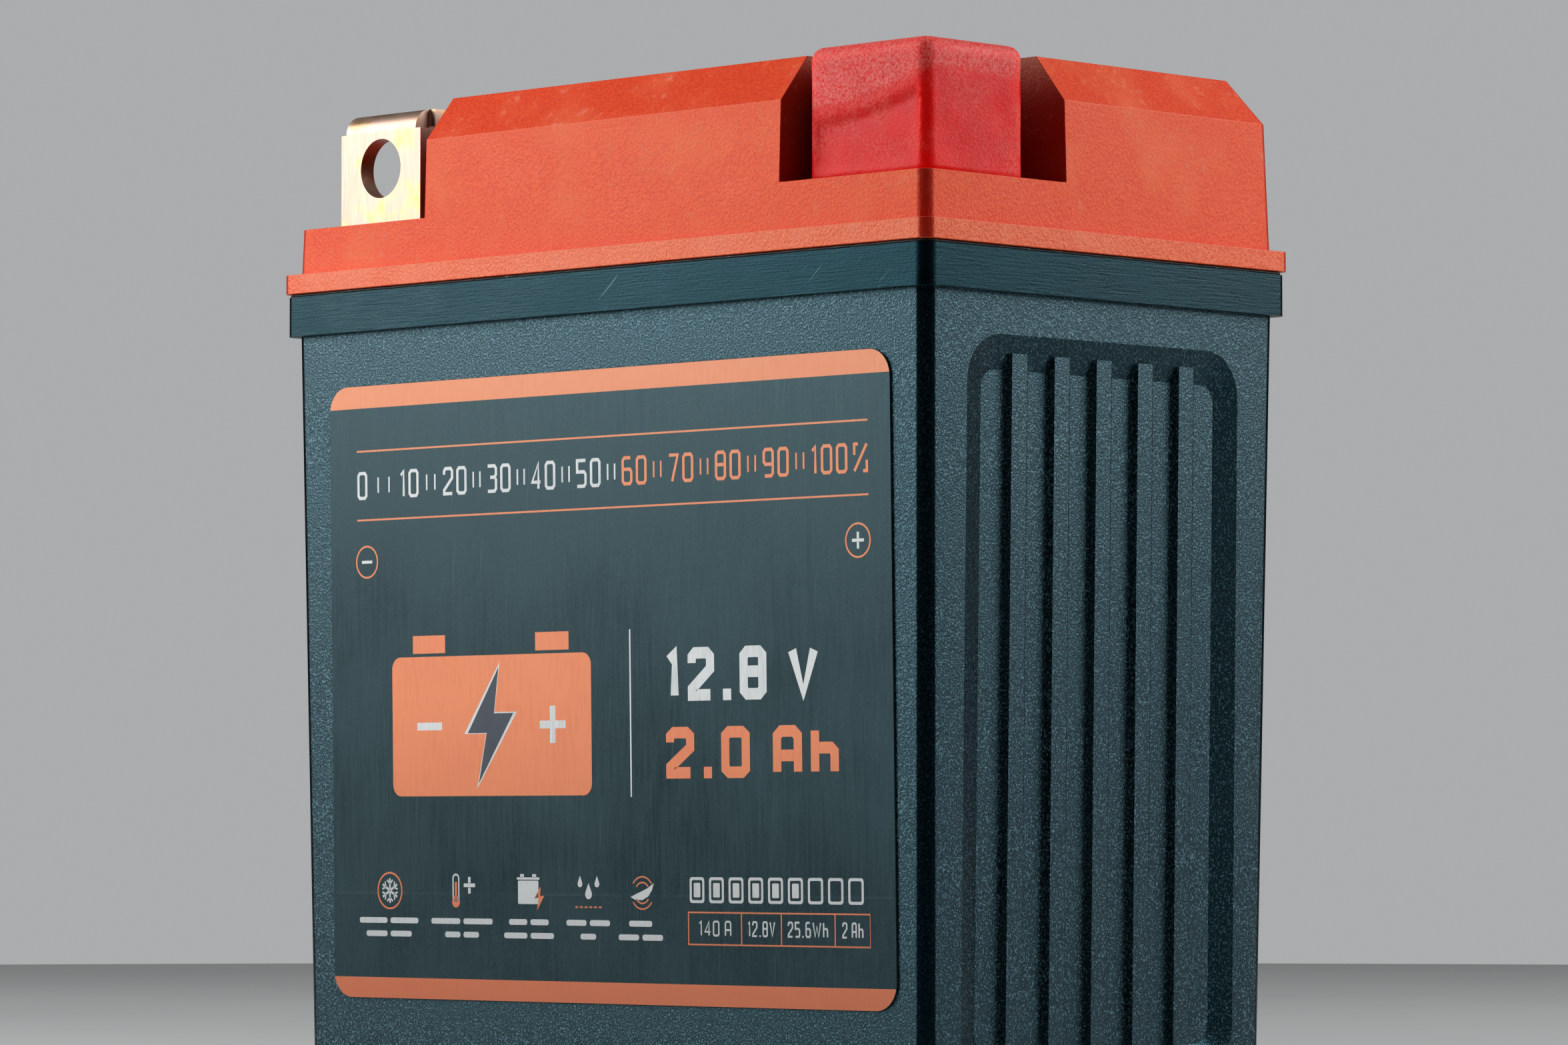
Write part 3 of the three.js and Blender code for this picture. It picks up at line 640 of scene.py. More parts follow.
def make_jar():
    jar = loft(
        "jar_shell",
        [
            ring(0, wall_inset(0) + FOOT),
            ring(0.25 * FOOT, wall_inset(0) + 0.35 * FOOT),
            ring(FOOT, wall_inset(FOOT)),
            ring(RIM_LOW, WALL_INSET),
            ring(RIM_LOW, RIM_INSET),
            ring(RIM_TOP, RIM_INSET),
        ],
    )
    levels = (JAR_FLOOR, RIM_TOP + DEEP_CUT)
    inside = [ring(z, wall_inset(z) + JAR_WALL, INNER_CORNER) for z in levels]
    combine(jar, [loft("jar_inside", inside)], "DIFFERENCE")
    for side in (1, -1):
        combine(jar, [recess_cutter(side)], "DIFFERENCE")
        combine(jar, [make_rib(side, i) for i in range(RIB_COUNT)], "UNION")
    soften(jar, JAR_EDGE, 2, 12)
    # The slope and corner copies paint shade: darker, smoother, less shiny grain on the recess
    # slopes and the upright corners.
    paint(
        jar,
        jar_grain_finish("jar_grain", 0.0, 0.6, (0.34, 0.80, 1.0)),
        rim_finish(),
        jar_grain_finish("jar_slope_painted_shade", 0.5, 0.30, (0.12, 0.72, 1.0)),
        jar_grain_finish("jar_corner_painted_shade", 0.9, 0.12, (0.10, 0.60, 1.0)),
    )
    rim_from = RIM_LOW - 0.3 * MM
    for face in jar.data.polygons:
        beside_panel = abs(face.center.y) > RECESS_HALF_WIDTH
        if face.center.z > rim_from:
            face.material_index = RIM
        elif beside_panel and abs(face.normal.x * face.normal.y) > 0.15:
            face.material_index = TURN
        elif not beside_panel and 0.90 < abs(face.normal.x) < 0.985:
            face.material_index = SLOPE
    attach(jar, "battery")
    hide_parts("jar")


# ---------------------------------------------------------------- lid and weld bead

LID_WALL_INSET = 1.25 * MM
CHAMFER_LOW = 106.1 * MM
CHAMFER_INSET = 1.65 * MM
TOP_INSET = 5.6 * MM
BACK_TOP_INSET = 3.4 * MM
NOTCH_INNER_X = 27.3 * MM
NOTCH_BACK_Y = -5.9 * MM
LID_WALL = 2.3 * MM
NOTCH_FLOOR_THICKNESS = 2.2 * MM
SKIRT_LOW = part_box("lid")[0].z
SKIRT_CLEARANCE = 0.25 * MM
SKIRT_THICKNESS = 1.6 * MM
HOLLOW_CORNER = 0.8 * MM
NOTCH_CORNER = 1 * MM
LEG_WIDTH = 7.6 * MM
TOUCH_GAP = 0.05 * MM


def notch_block(side, grow, low):
    """The room of a terminal notch, from a height up past the lid."""
    near = NOTCH_INNER_X - grow
    x0, x1 = (near, 2 * HALF_LENGTH) if side > 0 else (-2 * HALF_LENGTH, -near)
    low_corner = (x0, -2 * HALF_WIDTH, low)
    high_corner = (x1, NOTCH_BACK_Y + grow, LID_TOP + DEEP_CUT)
    return prism("notch", low_corner, high_corner, NOTCH_CORNER, 6)


def make_lid():
    lid = loft(
        "lid_shell",
        [
            ring(LID_LOW, 0, LID_CORNER),
            ring(FLANGE_TOP, 0, LID_CORNER),
            ring(FLANGE_TOP, LID_WALL_INSET, LID_CORNER),
            ring(CHAMFER_LOW, CHAMFER_INSET, LID_CORNER),
            ring(LID_TOP, TOP_INSET, 1.0 * MM, BACK_TOP_INSET),
        ],
    )
    skirt_inset = wall_inset(RIM_TOP) + JAR_WALL + SKIRT_CLEARANCE
    levels = (SKIRT_LOW, LID_LOW + 0.5 * MM)
    skirt = loft("skirt", [ring(z, skirt_inset, 1 * MM) for z in levels])
    hollow_inset = skirt_inset + SKIRT_THICKNESS
    hollow = loft(
        "lid_hollow",
        [
            ring(SKIRT_LOW - OVERCUT, hollow_inset, HOLLOW_CORNER),
            ring(CHAMFER_LOW - 1 * MM, hollow_inset, HOLLOW_CORNER),
            ring(LID_TOP - LID_WALL, hollow_inset + 3 * MM, HOLLOW_CORNER),
        ],
    )
    underside = NOTCH_FLOOR - NOTCH_FLOOR_THICKNESS
    blocks = [notch_block(side, LID_WALL, underside) for side in (1, -1)]
    combine(hollow, blocks, "DIFFERENCE")
    combine(lid, [skirt], "UNION")
    combine(lid, [hollow], "DIFFERENCE")
    for side, node in ((1, "positive_terminal"), (-1, "negative_terminal")):
        combine(lid, [notch_block(side, 0, NOTCH_FLOOR)], "DIFFERENCE")
        low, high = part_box(node)
        middle = (low.x + high.x) / 2
        half = LEG_WIDTH / 2 + TOUCH_GAP
        leg_front = high.y - TERMINAL_THICKNESS - TOUCH_GAP
        slot = prism(
            "leg_slot",
            (middle - half, leg_front, underside - 2 * MM),
            (middle + half, high.y + TOUCH_GAP, NOTCH_FLOOR + 2 * MM),
            0.2 * MM,
        )
        combine(lid, [slot], "DIFFERENCE")
    soften(lid, LID_EDGE, 3, 25)
    body = ((0.80, 0.026, 0.001), (0.97, 0.080, 0.006), (0.97, 0.17, 0.065))
    flange = ((0.80, 0.050, 0.008), (0.97, 0.140, 0.040), (0.97, 0.24, 0.13))
    paint(
        lid,
        lid_finish("lid_orange", *body, 0.44, 0.40),
        lid_finish("lid_flange", *flange, 0.34, 0.55),
    )
    for face in lid.data.polygons:
        if LID_LOW < face.center.z < FLANGE_TOP - 0.01 * MM:
            face.material_index = 1
    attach(lid, "battery")
    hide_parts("lid")


# Each corner of the bead's section: millimetres inward, and height in halves of the bead's height.
BEAD_PROFILE = [(0.2, 0.98), (0.0, 0.35), (0.0, -0.35), (0.2, -0.98), (2.3, -0.98), (2.3, 0.98)]
BEAD_STEP = 0.7 * MM
BEAD_WOBBLE = 0.14 * MM


def make_weld_bead():
    """The squeezed-out joint line between jar and lid, slightly uneven all the way round."""
    low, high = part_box("lid_weld_bead")
    inset = HALF_LENGTH - high.x
    middle = (low.z + high.z) / 2
    half = (high.z - low.z) / 2
    corners = ring(0, 0)
    path = []
    for start, end in zip(corners, corners[1:] + corners[:1]):
        count = max(1, round((end - start).length / BEAD_STEP))
        path += [start.lerp(end, i / count) for i in range(count)]
    rings = []
    for inward, lift in BEAD_PROFILE:
        points = []
        for place in path:
            wobble = BEAD_WOBBLE * noise.noise(place * 900) if inward < 1 else 0
            shift = inset - 0.2 * MM + inward * MM + wobble
            shrink_x = 1 - shift / HALF_LENGTH
            shrink_y = 1 - shift / HALF_WIDTH
            points.append(Vector((place.x * shrink_x, place.y * shrink_y, middle + lift * half)))
        rings.append(points)
    bead = loft("lid_joint_bead", rings, close_ends=False)
    smooth(bead)
    paint(bead, bead_finish())
    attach(bead, "battery")
    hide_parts("lid_weld_bead")


# ---------------------------------------------------------------- terminals

TERMINAL_THICKNESS = 1.9 * MM
BEND_RADIUS = 2.2 * MM
RELIEF_DEPTH = 0.8 * MM
HOLE_RADIUS = 3.3 * MM
HOLE_Z = 104 * MM
RIVET_Z = 88.2 * MM
RIVET_RADIUS = 1.5 * MM


def make_terminal(node):
    """A bent strip: front plate, top plate and back leg, drilled for a bolt and a rivet."""
    low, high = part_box(node)
    front, back, top = low.y, high.y, high.z
    inside = BEND_RADIUS - TERMINAL_THICKNESS

    centre_z = top - BEND_RADIUS
    near, far = front + BEND_RADIUS, back - BEND_RADIUS
    strip = [(front, NOTCH_FLOOR), (front + TERMINAL_THICKNESS, NOTCH_FLOOR)]
    strip += arc_points(near, centre_z, inside, 180, 90)
    strip += arc_points(far, centre_z, inside, 90, 0)
    strip += [(back - TERMINAL_THICKNESS, low.z), (back, low.z)]
    strip += arc_points(far, centre_z, BEND_RADIUS, 0, 90)
    strip += arc_points(near, centre_z, BEND_RADIUS, 90, 180)
    rings = [[Vector((x, y, z)) for y, z in strip] for x in (low.x, high.x)]
    plate = loft(node + "_plate", rings)
    middle = (low.x + high.x) / 2
    cutters = []
    left, right = low.x - OVERCUT, high.x + OVERCUT
    for x0, x1 in ((left, low.x + RELIEF_DEPTH), (high.x - RELIEF_DEPTH, right)):
        relief_low = (x0, front - OVERCUT, centre_z)
        cutters.append(prism("relief", relief_low, (x1, near, top + OVERCUT), 0.25 * MM))
    leg_front = back - TERMINAL_THICKNESS - 0.1 * MM
    for x0, x1 in ((left, middle - LEG_WIDTH / 2), (middle + LEG_WIDTH / 2, right)):
        leg_low = (x0, leg_front, low.z - OVERCUT)
        cutters.append(prism("leg_side", leg_low, (x1, back + OVERCUT, NOTCH_FLOOR), 0.1 * MM))
    across = Vector((0, 3 * MM, 0))
    up = Vector((0, 0, 3 * MM))
    face = Vector((middle, front, HOLE_Z))
    roof = Vector((middle, (front + back) / 2, top))
    leg = Vector((middle, back, RIVET_Z))
    cutters.append(rod("front_hole", face - across, face + across, HOLE_RADIUS, 64))
    cutters.append(rod("top_hole", roof - up, roof + up, HOLE_RADIUS, 64))
    cutters.append(rod("rivet_hole", leg - across, leg + across, RIVET_RADIUS, 24))
    combine(plate, cutters, "DIFFERENCE")
    soften(plate, PLATE_EDGE, 3, 40)
    paint(plate, brass_finish())
    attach(plate, "battery")
    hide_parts(node)


# ---------------------------------------------------------------- cap

CAP_WALL = 1.0 * MM
CAP_CORNER = 1.5 * MM
CAP_STEPS = 7
CAP_ROWS = 26
CAP_COLUMNS = 24
CAP_SLACK = 0.14 * MM
CAP_FOOT_EDGE = 0.25 * MM
ON_FACE = 0.01 * MM


def cap_dent(along, up):
    """How far the cap's front has sunk in, as a fraction: most just under the crease."""
    below = max(0.0, FOLD_START + FOLD_CLIMB * along ** FOLD_POWER - up)
    dent = min(1.0, below / 0.06) * math.exp(-below * 3.0)
    fade = min(1.0, along / 0.12) * min(1.0, (1 - along) / 0.12)
    return dent * fade * fade * (3 - 2 * fade) * min(1.0, up / 0.12)


def make_cap():
    """A soft moulded cap: thin walls, rounded all over, its faces slack and creased."""
    low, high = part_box("terminal_cap")
    middle = (low + high) / 2

    def shell_ring(z, inset, radius):
        flat = outline(low.x + inset, high.x - inset, low.y + inset, high.y - inset, radius, 6)
        points = []
        for (x0, y0), (x1, y1) in zip(flat, flat[1:] + flat[:1]):
            count = CAP_COLUMNS if math.hypot(x1 - x0, y1 - y0) > 3 * MM else 1
            for i in range(count):
                part = i / count
                points.append(Vector((x0 + (x1 - x0) * part, y0 + (y1 - y0) * part, z)))
        return points

    foot = low.z + 0.05 * MM
    shoulder = high.z - CAP_CORNER
    rings = [shell_ring(foot, CAP_WALL, 0.6 * MM), shell_ring(foot, CAP_FOOT_EDGE, CAP_CORNER)]
    first = foot + CAP_FOOT_EDGE
    for i in range(CAP_ROWS + 1):
        rings.append(shell_ring(first + (shoulder - first) * i / CAP_ROWS, 0, CAP_CORNER))
    for i in range(1, CAP_STEPS + 1):
        turn = i / CAP_STEPS * math.pi / 2
        inset = CAP_CORNER * (1 - math.cos(turn)) * 0.98
        radius = max(0.15 * MM, CAP_CORNER - inset)
        rings.append(shell_ring(shoulder + CAP_CORNER * math.sin(turn), inset, radius))
    inner = [
        shell_ring(high.z - CAP_WALL, CAP_WALL + 0.8 * MM, 0.3 * MM),
        shell_ring(high.z - CAP_WALL - 0.6 * MM, CAP_WALL, 0.5 * MM),
        shell_ring(foot + 0.3 * MM, CAP_WALL, 0.5 * MM),
    ]
    bm = bmesh.new()
    outer_rows = [[bm.verts.new(point) for point in points] for points in rings]
    inner_rows = [[bm.verts.new(point) for point in points] for points in inner]
    skin(bm, outer_rows)
    bm.faces.new(outer_rows[-1])
    skin(bm, inner_rows + outer_rows[:1])
    bm.faces.new(inner_rows[0][::-1])
    bmesh.ops.recalc_face_normals(bm, faces=bm.faces)
    width = high.x - low.x
    for row in outer_rows[2:]:
        for vertex in row:
            place = vertex.co.copy()
            up = (place.z - foot) / (shoulder - foot)
            if up > 1:
                continue
            ease = min(1.0, up / 0.15) * min(1.0, (1 - up) / 0.12)
            waves = noise.noise(place * 260 + Vector((3, 1, 2)))
            slack = CAP_SLACK * (0.5 + 0.5 * waves) * ease
            if place.y < low.y + ON_FACE:
                vertex.co.y += slack + FOLD_DEPTH * cap_dent((place.x - low.x) / width, up)
            elif place.x > high.x - ON_FACE:
                vertex.co.x -= slack
            else:
                inward = Vector((middle.x - place.x, middle.y - place.y, 0)).normalized()
                vertex.co += inward * slack * 0.5
    cap = mesh_object("red_terminal_cap", bm)
    smooth(cap, 60)
    paint(cap, cap_finish())
    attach(cap, "cap")
    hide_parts("terminal_cap")


# ---------------------------------------------------------------- label film and print

FILM_THICKNESS = 0.2 * MM
FILM_GAP = 0.05 * MM
LABEL_CORNER = 2.9
LABEL_EDGE = 0.06
FOLD_Z = 23.5 * MM
INK_THICKNESS = 0.012 * MM
INK_LIFT = 0.004 * MM
BOLT_LIFT = 0.018 * MM
BUTT_GAP = 0.012
GAUGE_CELLS = 9
GAUGE_FULL = 6
SCALE_STEPS = 10
LABEL_X = (LABEL_LOW.x / MM, LABEL_HIGH.x / MM)
LABEL_Z = (LABEL_LOW.z / MM, LABEL_HIGH.z / MM)


def wall_y(z):
    """The label's outer face at height z."""
    return wall_inset(z) - HALF_WIDTH - FILM_GAP - FILM_THICKNESS


def make_film():
    flat = outline(*LABEL_X, *LABEL_Z, LABEL_CORNER, 12)
    middle_x = sum(LABEL_X) / 2
    middle_z = sum(LABEL_Z) / 2
    rings = []
    for depth, inset in ((FILM_THICKNESS, 0), (0.25 * FILM_THICKNESS, 0), (0, LABEL_EDGE)):
        points = []
        for x, z in flat:
            x -= math.copysign(inset, x - middle_x)
            z -= math.copysign(inset, z - middle_z)
            points.append(Vector((x * MM, wall_y(z * MM) + depth, z * MM)))
        rings.append(points)
    film = loft("label_film", rings)
    smooth(film, 30)
    paint(film, film_finish())
    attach(film, "battery")
    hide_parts("front_label")


# Each figure: its width, then its lines; a third value marks an end that butts against a line.
FOOT_BEND = ((0, 0.1), (0.18, 0), (0.82, 0), (1, 0.1))
HEAD_BEND = ((0, 0.9), (0.18, 1), (0.82, 1), (1, 0.9))
LOOP = ((0.5, 1), *HEAD_BEND[2:], *FOOT_BEND[::-1], *HEAD_BEND[:2], (0.5, 1))
HOOK = ((0, 1), (0.82, 1), (1, 0.9), (1, 0.65), (0.82, 0.55), (0.3, 0.55))
SIX = ((0.9, 1), (0.18, 1), (0, 0.9), *FOOT_BEND, (1, 0.46), (0.82, 0.56), (0, 0.56, 1))
ARCH = ((0, 0), (0, 0.88), (0.2, 1), (0.8, 1), (1, 0.88), (1, 0))
NINE = tuple((1 - u, 1 - v, *butt) for u, v, *butt in SIX)
FIGURES = {
    "0": (1, LOOP),
    "1": (0.55, ((0, 0.84), (0.8, 1), (0.8, 0))),
    "2": (1, ((0, 0.76), *HEAD_BEND, (1, 0.62), (0, 0.14), (0, 0), (1, 0))),
    "3": (1, HOOK, ((0.82, 0.55, 1), (1, 0.45), (1, 0.1), (0.82, 0), (0, 0))),
    "4": (1, ((0.75, 0), (0.75, 1), (0, 0.26), (0.75, 0.26, 1)), ((0.75, 0.26, 1), (1, 0.26))),
    "5": (1, ((1, 1), (0, 1), (0, 0.56), (0.82, 0.56), (1, 0.46), (1, 0.1), (0.82, 0), (0, 0))),
    "6": (1, SIX),
    "7": (1, ((0, 1), (1, 1), (0.35, 0))),
    "8": (1, LOOP, ((0, 0.53, 1), (1, 0.53, 1))),
    "9": (1, NINE),
    ".": (0.35,),
    " ": (0.2,),
    "V": (1.1, ((0, 1), (0.5, 0), (1, 1))),
    "A": (1, ARCH, ((0, 0.4, 1), (1, 0.4, 1))),
    "W": (1.6, ((0, 1), (0.26, 0), (0.5, 0.75), (0.74, 0), (1, 1))),
    "h": (0.95, ((0, 1), (0, 0)), ((0, 0.58, 1), (0.82, 0.58), (1, 0.48), (1, 0))),
    "%": (1.3, ((0, 0), (1, 1)), ((0, 0.6), (0, 1), (0.3, 1)), ((0.7, 0), (1, 0), (1, 0.4))),
}


def rectangle(x0, x1, z0, z1):
    return [(x0, z0), (x1, z0), (x1, z1), (x0, z1)]


def rounded(x0, x1, z0, z1, radius, steps=8):
    return outline(x0, x1, z0, z1, radius, steps)


def polar(x, z, radius, turn):
    return (x + radius * math.cos(turn), z + radius * math.sin(turn))


def disc(x, z, radius):
    return arc_points(x, z, radius, 0, 360, 40)[:-1]


def stroke(x0, z0, x1, z1, width):
    """A straight line of ink with a width."""
    length = math.hypot(x1 - x0, z1 - z0)
    across_x, across_z = -(z1 - z0) / length * width / 2, (x1 - x0) / length * width / 2
    return [
        (x0 + across_x, z0 + across_z),
        (x0 - across_x, z0 - across_z),
        (x1 - across_x, z1 - across_z),
        (x1 + across_x, z1 + across_z),
    ]


def arc(x, z, radius, width, start, end):
    """A bent line of ink; start and end in degrees."""
    outer = arc_points(x, z, radius + width / 2, start, end, 14)
    return outer + arc_points(x, z, radius - width / 2, start, end, 14)[::-1]


class Ink:
    """One colour of print on the label: shapes in millimetres, laid onto the drafted front."""

    def __init__(self, tone, color, worn_color, lift=INK_LIFT):
        self.name = "label_print_" + tone
        self.material = ink_finish("ink_" + tone, color, worn_color)
        self.lift = lift
        self.pieces = []

    def fill(self, *outlines):
        """A filled shape; outlines after the first are holes in it."""
        curve = bpy.data.curves.new(self.name, "CURVE")
        curve.dimensions = "2D"
        curve.fill_mode = "BOTH"
        curve.extrude = INK_THICKNESS / MM / 2
        for points in outlines:
            spline = curve.splines.new("POLY")
            spline.points.add(len(points) - 1)
            for point, (x, z) in zip(spline.points, points):
                point.co = (x, z, 0, 1)
            spline.use_cyclic_u = True
        self.keep(curve)

    def bars(self, x, *boxes):
        """Filled rectangles, each from two offsets from x and two heights."""
        for x0, x1, z0, z1 in boxes:
            self.fill(rectangle(x + x0, x + x1, z0, z1))

    def trace(self, points, weight):
        """A line of even weight through points, with square corners."""
        sides = ([], [])
        for i, point in enumerate(points):
            before = Vector(points[i]) - Vector(points[i - 1]) if i else None
            after = Vector(points[i + 1]) - Vector(points[i]) if i + 1 < len(points) else None
            before, after = (before or after).normalized(), (after or before).normalized()
            way = (before + after).normalized()
            reach = weight / 2 / max(0.7, way.dot(before))
            for side, turn in zip(sides, (reach, -reach)):
                side.append((point[0] - way.y * turn, point[1] + way.x * turn))
        self.fill(sides[0] + sides[1][::-1])

    def figures(self, body, x0, x1, z0, z1, weight):
        """Figures and units in a plain squared hand, fitted to a box."""
        widths = [FIGURES[sign][0] for sign in body]
        gap = 0.3
        unit = (x1 - x0) / (sum(widths) + gap * (len(body) - 1))
        left = x0
        for sign, width in zip(body, widths):
            u0, u1 = left + weight / 2, left + width * unit - weight / 2
            v0, v1 = z0 + weight / 2, z1 - weight / 2
            if sign == ".":
                middle = (u0 + u1) / 2
                self.fill(rectangle(middle - weight / 2, middle + weight / 2, z0, z0 + weight))
            for path in FIGURES[sign][1:]:
                line = [Vector((u0 + (u1 - u0) * u, v0 + (v1 - v0) * v)) for u, v, *_ in path]
                for end, beside in ((0, 1), (-1, -2)):
                    if len(path[end]) == 3:
                        inward = (line[beside] - line[end]).normalized()
                        line[end] += inward * (weight / 2 + BUTT_GAP)
                self.trace([tuple(point) for point in line], weight)
            left += (width + gap) * unit

    def keep(self, curve):
        piece = bpy.data.objects.new(self.name, curve)
        bpy.context.scene.collection.objects.link(piece)
        self.pieces.append(bpy.data.meshes.new_from_object(piece))
        bpy.data.objects.remove(piece)

    def lay(self):
        """Joins the shapes into one piece standing on the film."""
        bm = bmesh.new()
        for mesh in self.pieces:
            bm.from_mesh(mesh)
            bpy.data.meshes.remove(mesh)
        bmesh.ops.remove_doubles(bm, verts=bm.verts, dist=1e-5)
        for vertex in bm.verts:
            x, z, depth = vertex.co
            y = wall_y(z * MM) - self.lift - INK_THICKNESS / 2 - depth * MM
            vertex.co = Vector((x * MM, y, z * MM))
        bmesh.ops.recalc_face_normals(bm, faces=bm.faces)
        print_piece = mesh_object(self.name, bm)
        paint(print_piece, self.material)
        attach(print_piece, "battery")


def band(z_edge, z_end):
    """A stripe that fills the label's end from z_edge to z_end, with the label's round corners."""
    x0, x1 = LABEL_X
    margin = 0.05
    up = 1 if z_end > z_edge else -1
    centre = z_end - up * LABEL_CORNER
    radius = LABEL_CORNER - margin
    start = math.asin(max(-1.0, min(1.0, (z_edge - centre) * up / radius)))
    right = arc_points(x1 - LABEL_CORNER, centre, radius, up * math.degrees(start), up * 90)
    left = [(x0 + x1 - x, z) for x, z in right]
    points = right + left[::-1]
    if z_edge * up < centre * up:
        points = [(x1 - margin, z_edge)] + points + [(x0 + margin, z_edge)]
    return points


def print_pictograms(white, orange):
    """Five small pictures with bars for captions: cold, heat, charging, water and light weight."""
    z = 23.9
    x = -33.1
    orange.fill(disc(x, z, 2.05), disc(x, z, 1.85))
    for i in range(3):
        turn = math.radians(60 * i + 30)
        white.fill(stroke(*polar(x, z, -1.35, turn), *polar(x, z, 1.35, turn), 0.26))
    for i in range(6):
        turn = math.radians(60 * i + 30)
        for lean in (-0.385, 0.385):
            white.fill(stroke(*polar(x, z, 0.75, turn), *polar(x, z, 1.25, turn + lean), 0.2))
    x = -22.4
    glass = rounded(x - 0.55, x + 0.55, 22.7, 25.8, 0.5)
    white.fill(glass, rounded(x - 0.36, x + 0.36, 22.9, 25.6, 0.33))
    orange.fill(disc(x, 22.75, 0.62))
    orange.bars(x, (-0.16, 0.16, 22.8, 24.9))
    white.bars(x, (1.25, 3.05, 24.35, 24.75), (1.95, 2.35, 23.65, 24.3), (1.95, 2.35, 24.8, 25.45))
    x = -10.9
    white.fill(rounded(x - 1.65, x + 1.55, 22.6, 25.1, 0.15))
    white.bars(x, (-1.8, 1.7, 25.2, 25.45), (-1.3, -0.7, 25.5, 25.8), (0.6, 1.2, 25.5, 25.8))
    spark = ((1.9, 24.5), (0.9, 23.2), (1.55, 23.25), (1.3, 21.9), (2.45, 23.5), (1.8, 23.45))
    orange.fill([(x + u, v) for u, v in spark])
    x = -1.6
    for dx, dz, size in ((-1.3, 1.0, 0.8), (1.3, 1.0, 0.8), (0, -0.1, 1.15)):
        tip = (x + dx, z + dz + size * 0.95)
        white.fill([tip] + arc_points(x + dx, z + dz - 0.1, size * 0.45, 150, 390, 12))
    for i in range(6):
        orange.bars(x + 0.72 * i, (-2.05, -1.6, 22.25, 22.42))
    x = 6.6
    for start, end in ((35, 145), (215, 325)):
        for radius in (1.1, 1.7):
            orange.fill(arc(x, z, radius, 0.16, start, end))
    quill = [(-1.8, -0.45), (-1.0, -0.75), (0, -0.75), (0.9, -0.35), (1.45, 0.3)]
    quill += [(1.75, 1.05), (0.9, 0.55), (0, 0.2), (-0.9, -0.1)]
    white.fill([(x + u, z + v) for u, v in quill])
    captions = (
        (-33.3, 9.6, 7.4), (-21.5, 9.8, 5.4), (-10.9, 6.2, 7.8), (-1.7, 6.7, 2.4), (6.3, 3.5, 6.7),
    )
    for x, *widths in captions:
        for width, z_low in zip(widths, (20.35, 18.9)):
            words = 1 if width < 4 else 2
            each = (width - 0.5 * (words - 1)) / words
            for i in range(words):
                left = x - width / 2 + i * (each + 0.5)
                white.fill(rounded(left, left + each, z_low, z_low + 0.62, 0.28, 4))


def print_emblem(white, orange, dark):
    """A plain picture of a battery: a body with two posts, pole signs and a bolt."""
    x0, x1, z0, z1 = -32.4, -0.9, 34.2, 49.4
    for left in (x0 + 3.4, x1 - 8.6):
        orange.fill(rectangle(left, left + 5.2, z1 + 0.35, z1 + 2.3))
    cx, cz = (x0 + x1) / 2, (z0 + z1) / 2
    arm, half = 2.0, 0.42
    minus = rectangle(x0 + 6.0 - arm, x0 + 6.0 + arm, cz - half, cz + half)
    quarter = [(arm, half), (half, half), (half, arm)]
    plus = []
    for turn in range(4):
        for x, z in quarter:
            for _ in range(turn):
                x, z = -z, x
            plus.append((x1 - 6.0 + x, cz + z))
    bolt = [(1.3, 6.2), (-3.6, -0.8), (-0.6, -0.8), (-1.9, -6.2), (3.6, 1.3), (0.55, 1.3)]
    grown = [(cx + x * 1.16, cz + z * 1.1) for x, z in bolt]
    bolt = [(cx + x, cz + z) for x, z in bolt]
    orange.fill(rounded(x0, x1, z0, z1, 1.3), grown, minus, plus)
    white.fill(minus)
    white.fill(plus)
    white.fill(grown, bolt)
    dark.fill(bolt)


def print_ratings(white, orange):
    """The framed row of figures at the lower right, with a charge gauge above it."""
    x0, x1, z0, z1 = 13.4, 39.8, 18.5, 22.0
    line = 0.16
    dividers = (21.3, 27.1, 34.8)
    lefts = (x0 + line, *(spot + line / 2 for spot in dividers))
    rights = (*(spot - line / 2 for spot in dividers), x1 - line / 2)
    windows = [rectangle(*sides, z0 + line, z1 - line) for sides in zip(lefts, rights)]
    orange.fill(rectangle(x0, x1, z0, z1), *windows)
    for body, left, right in (
        ("140 A", 15.0, 19.8), ("12.8V", 22.2, 26.2), ("25.6Wh", 28.0, 33.8), ("2 Ah", 35.8, 38.8),
    ):
        white.figures(body, left, right, 19.45, 21.1, 0.2)
    first, last = 13.7, 39.6
    pitch = (last - first) / GAUGE_CELLS
    for i in range(GAUGE_CELLS):
        left = first + i * pitch
        right = left + pitch - 0.7
        cell = rounded(left, right, 22.9, 25.6, 0.35, 4)
        white.fill(cell, rounded(left + 0.3, right - 0.3, 23.2, 25.3, 0.2, 4))
        if i < GAUGE_FULL:
            white.fill(rounded(left + 0.6, right - 0.6, 23.5, 25.0, 0.12, 3))


def print_scale(white, orange):
    """A charge scale from 0 to 100 per cent between the two fine lines."""
    low, high = 66.9, 70.0
    first, pitch = -37.9, 7.0
    for i in range(SCALE_STEPS + 1):
        ink = white if i < 6 else orange
        body = str(10 * i)
        width = 1.65 * len(body) + 0.5 * (len(body) - 1) - (0.75 if body[0] == "1" else 0)
        left = first + i * pitch
        ink.figures(body, left, left + width, low, high, 0.36)
        if i < SCALE_STEPS:
            for step in (1, 2):
                spot = left + width + step * (pitch - width) / 3
                ink.bars(spot, (-0.12, 0.12, low + 0.7, high - 0.7))
    orange.figures("%", 38.1, 40.2, low, high, 0.34)


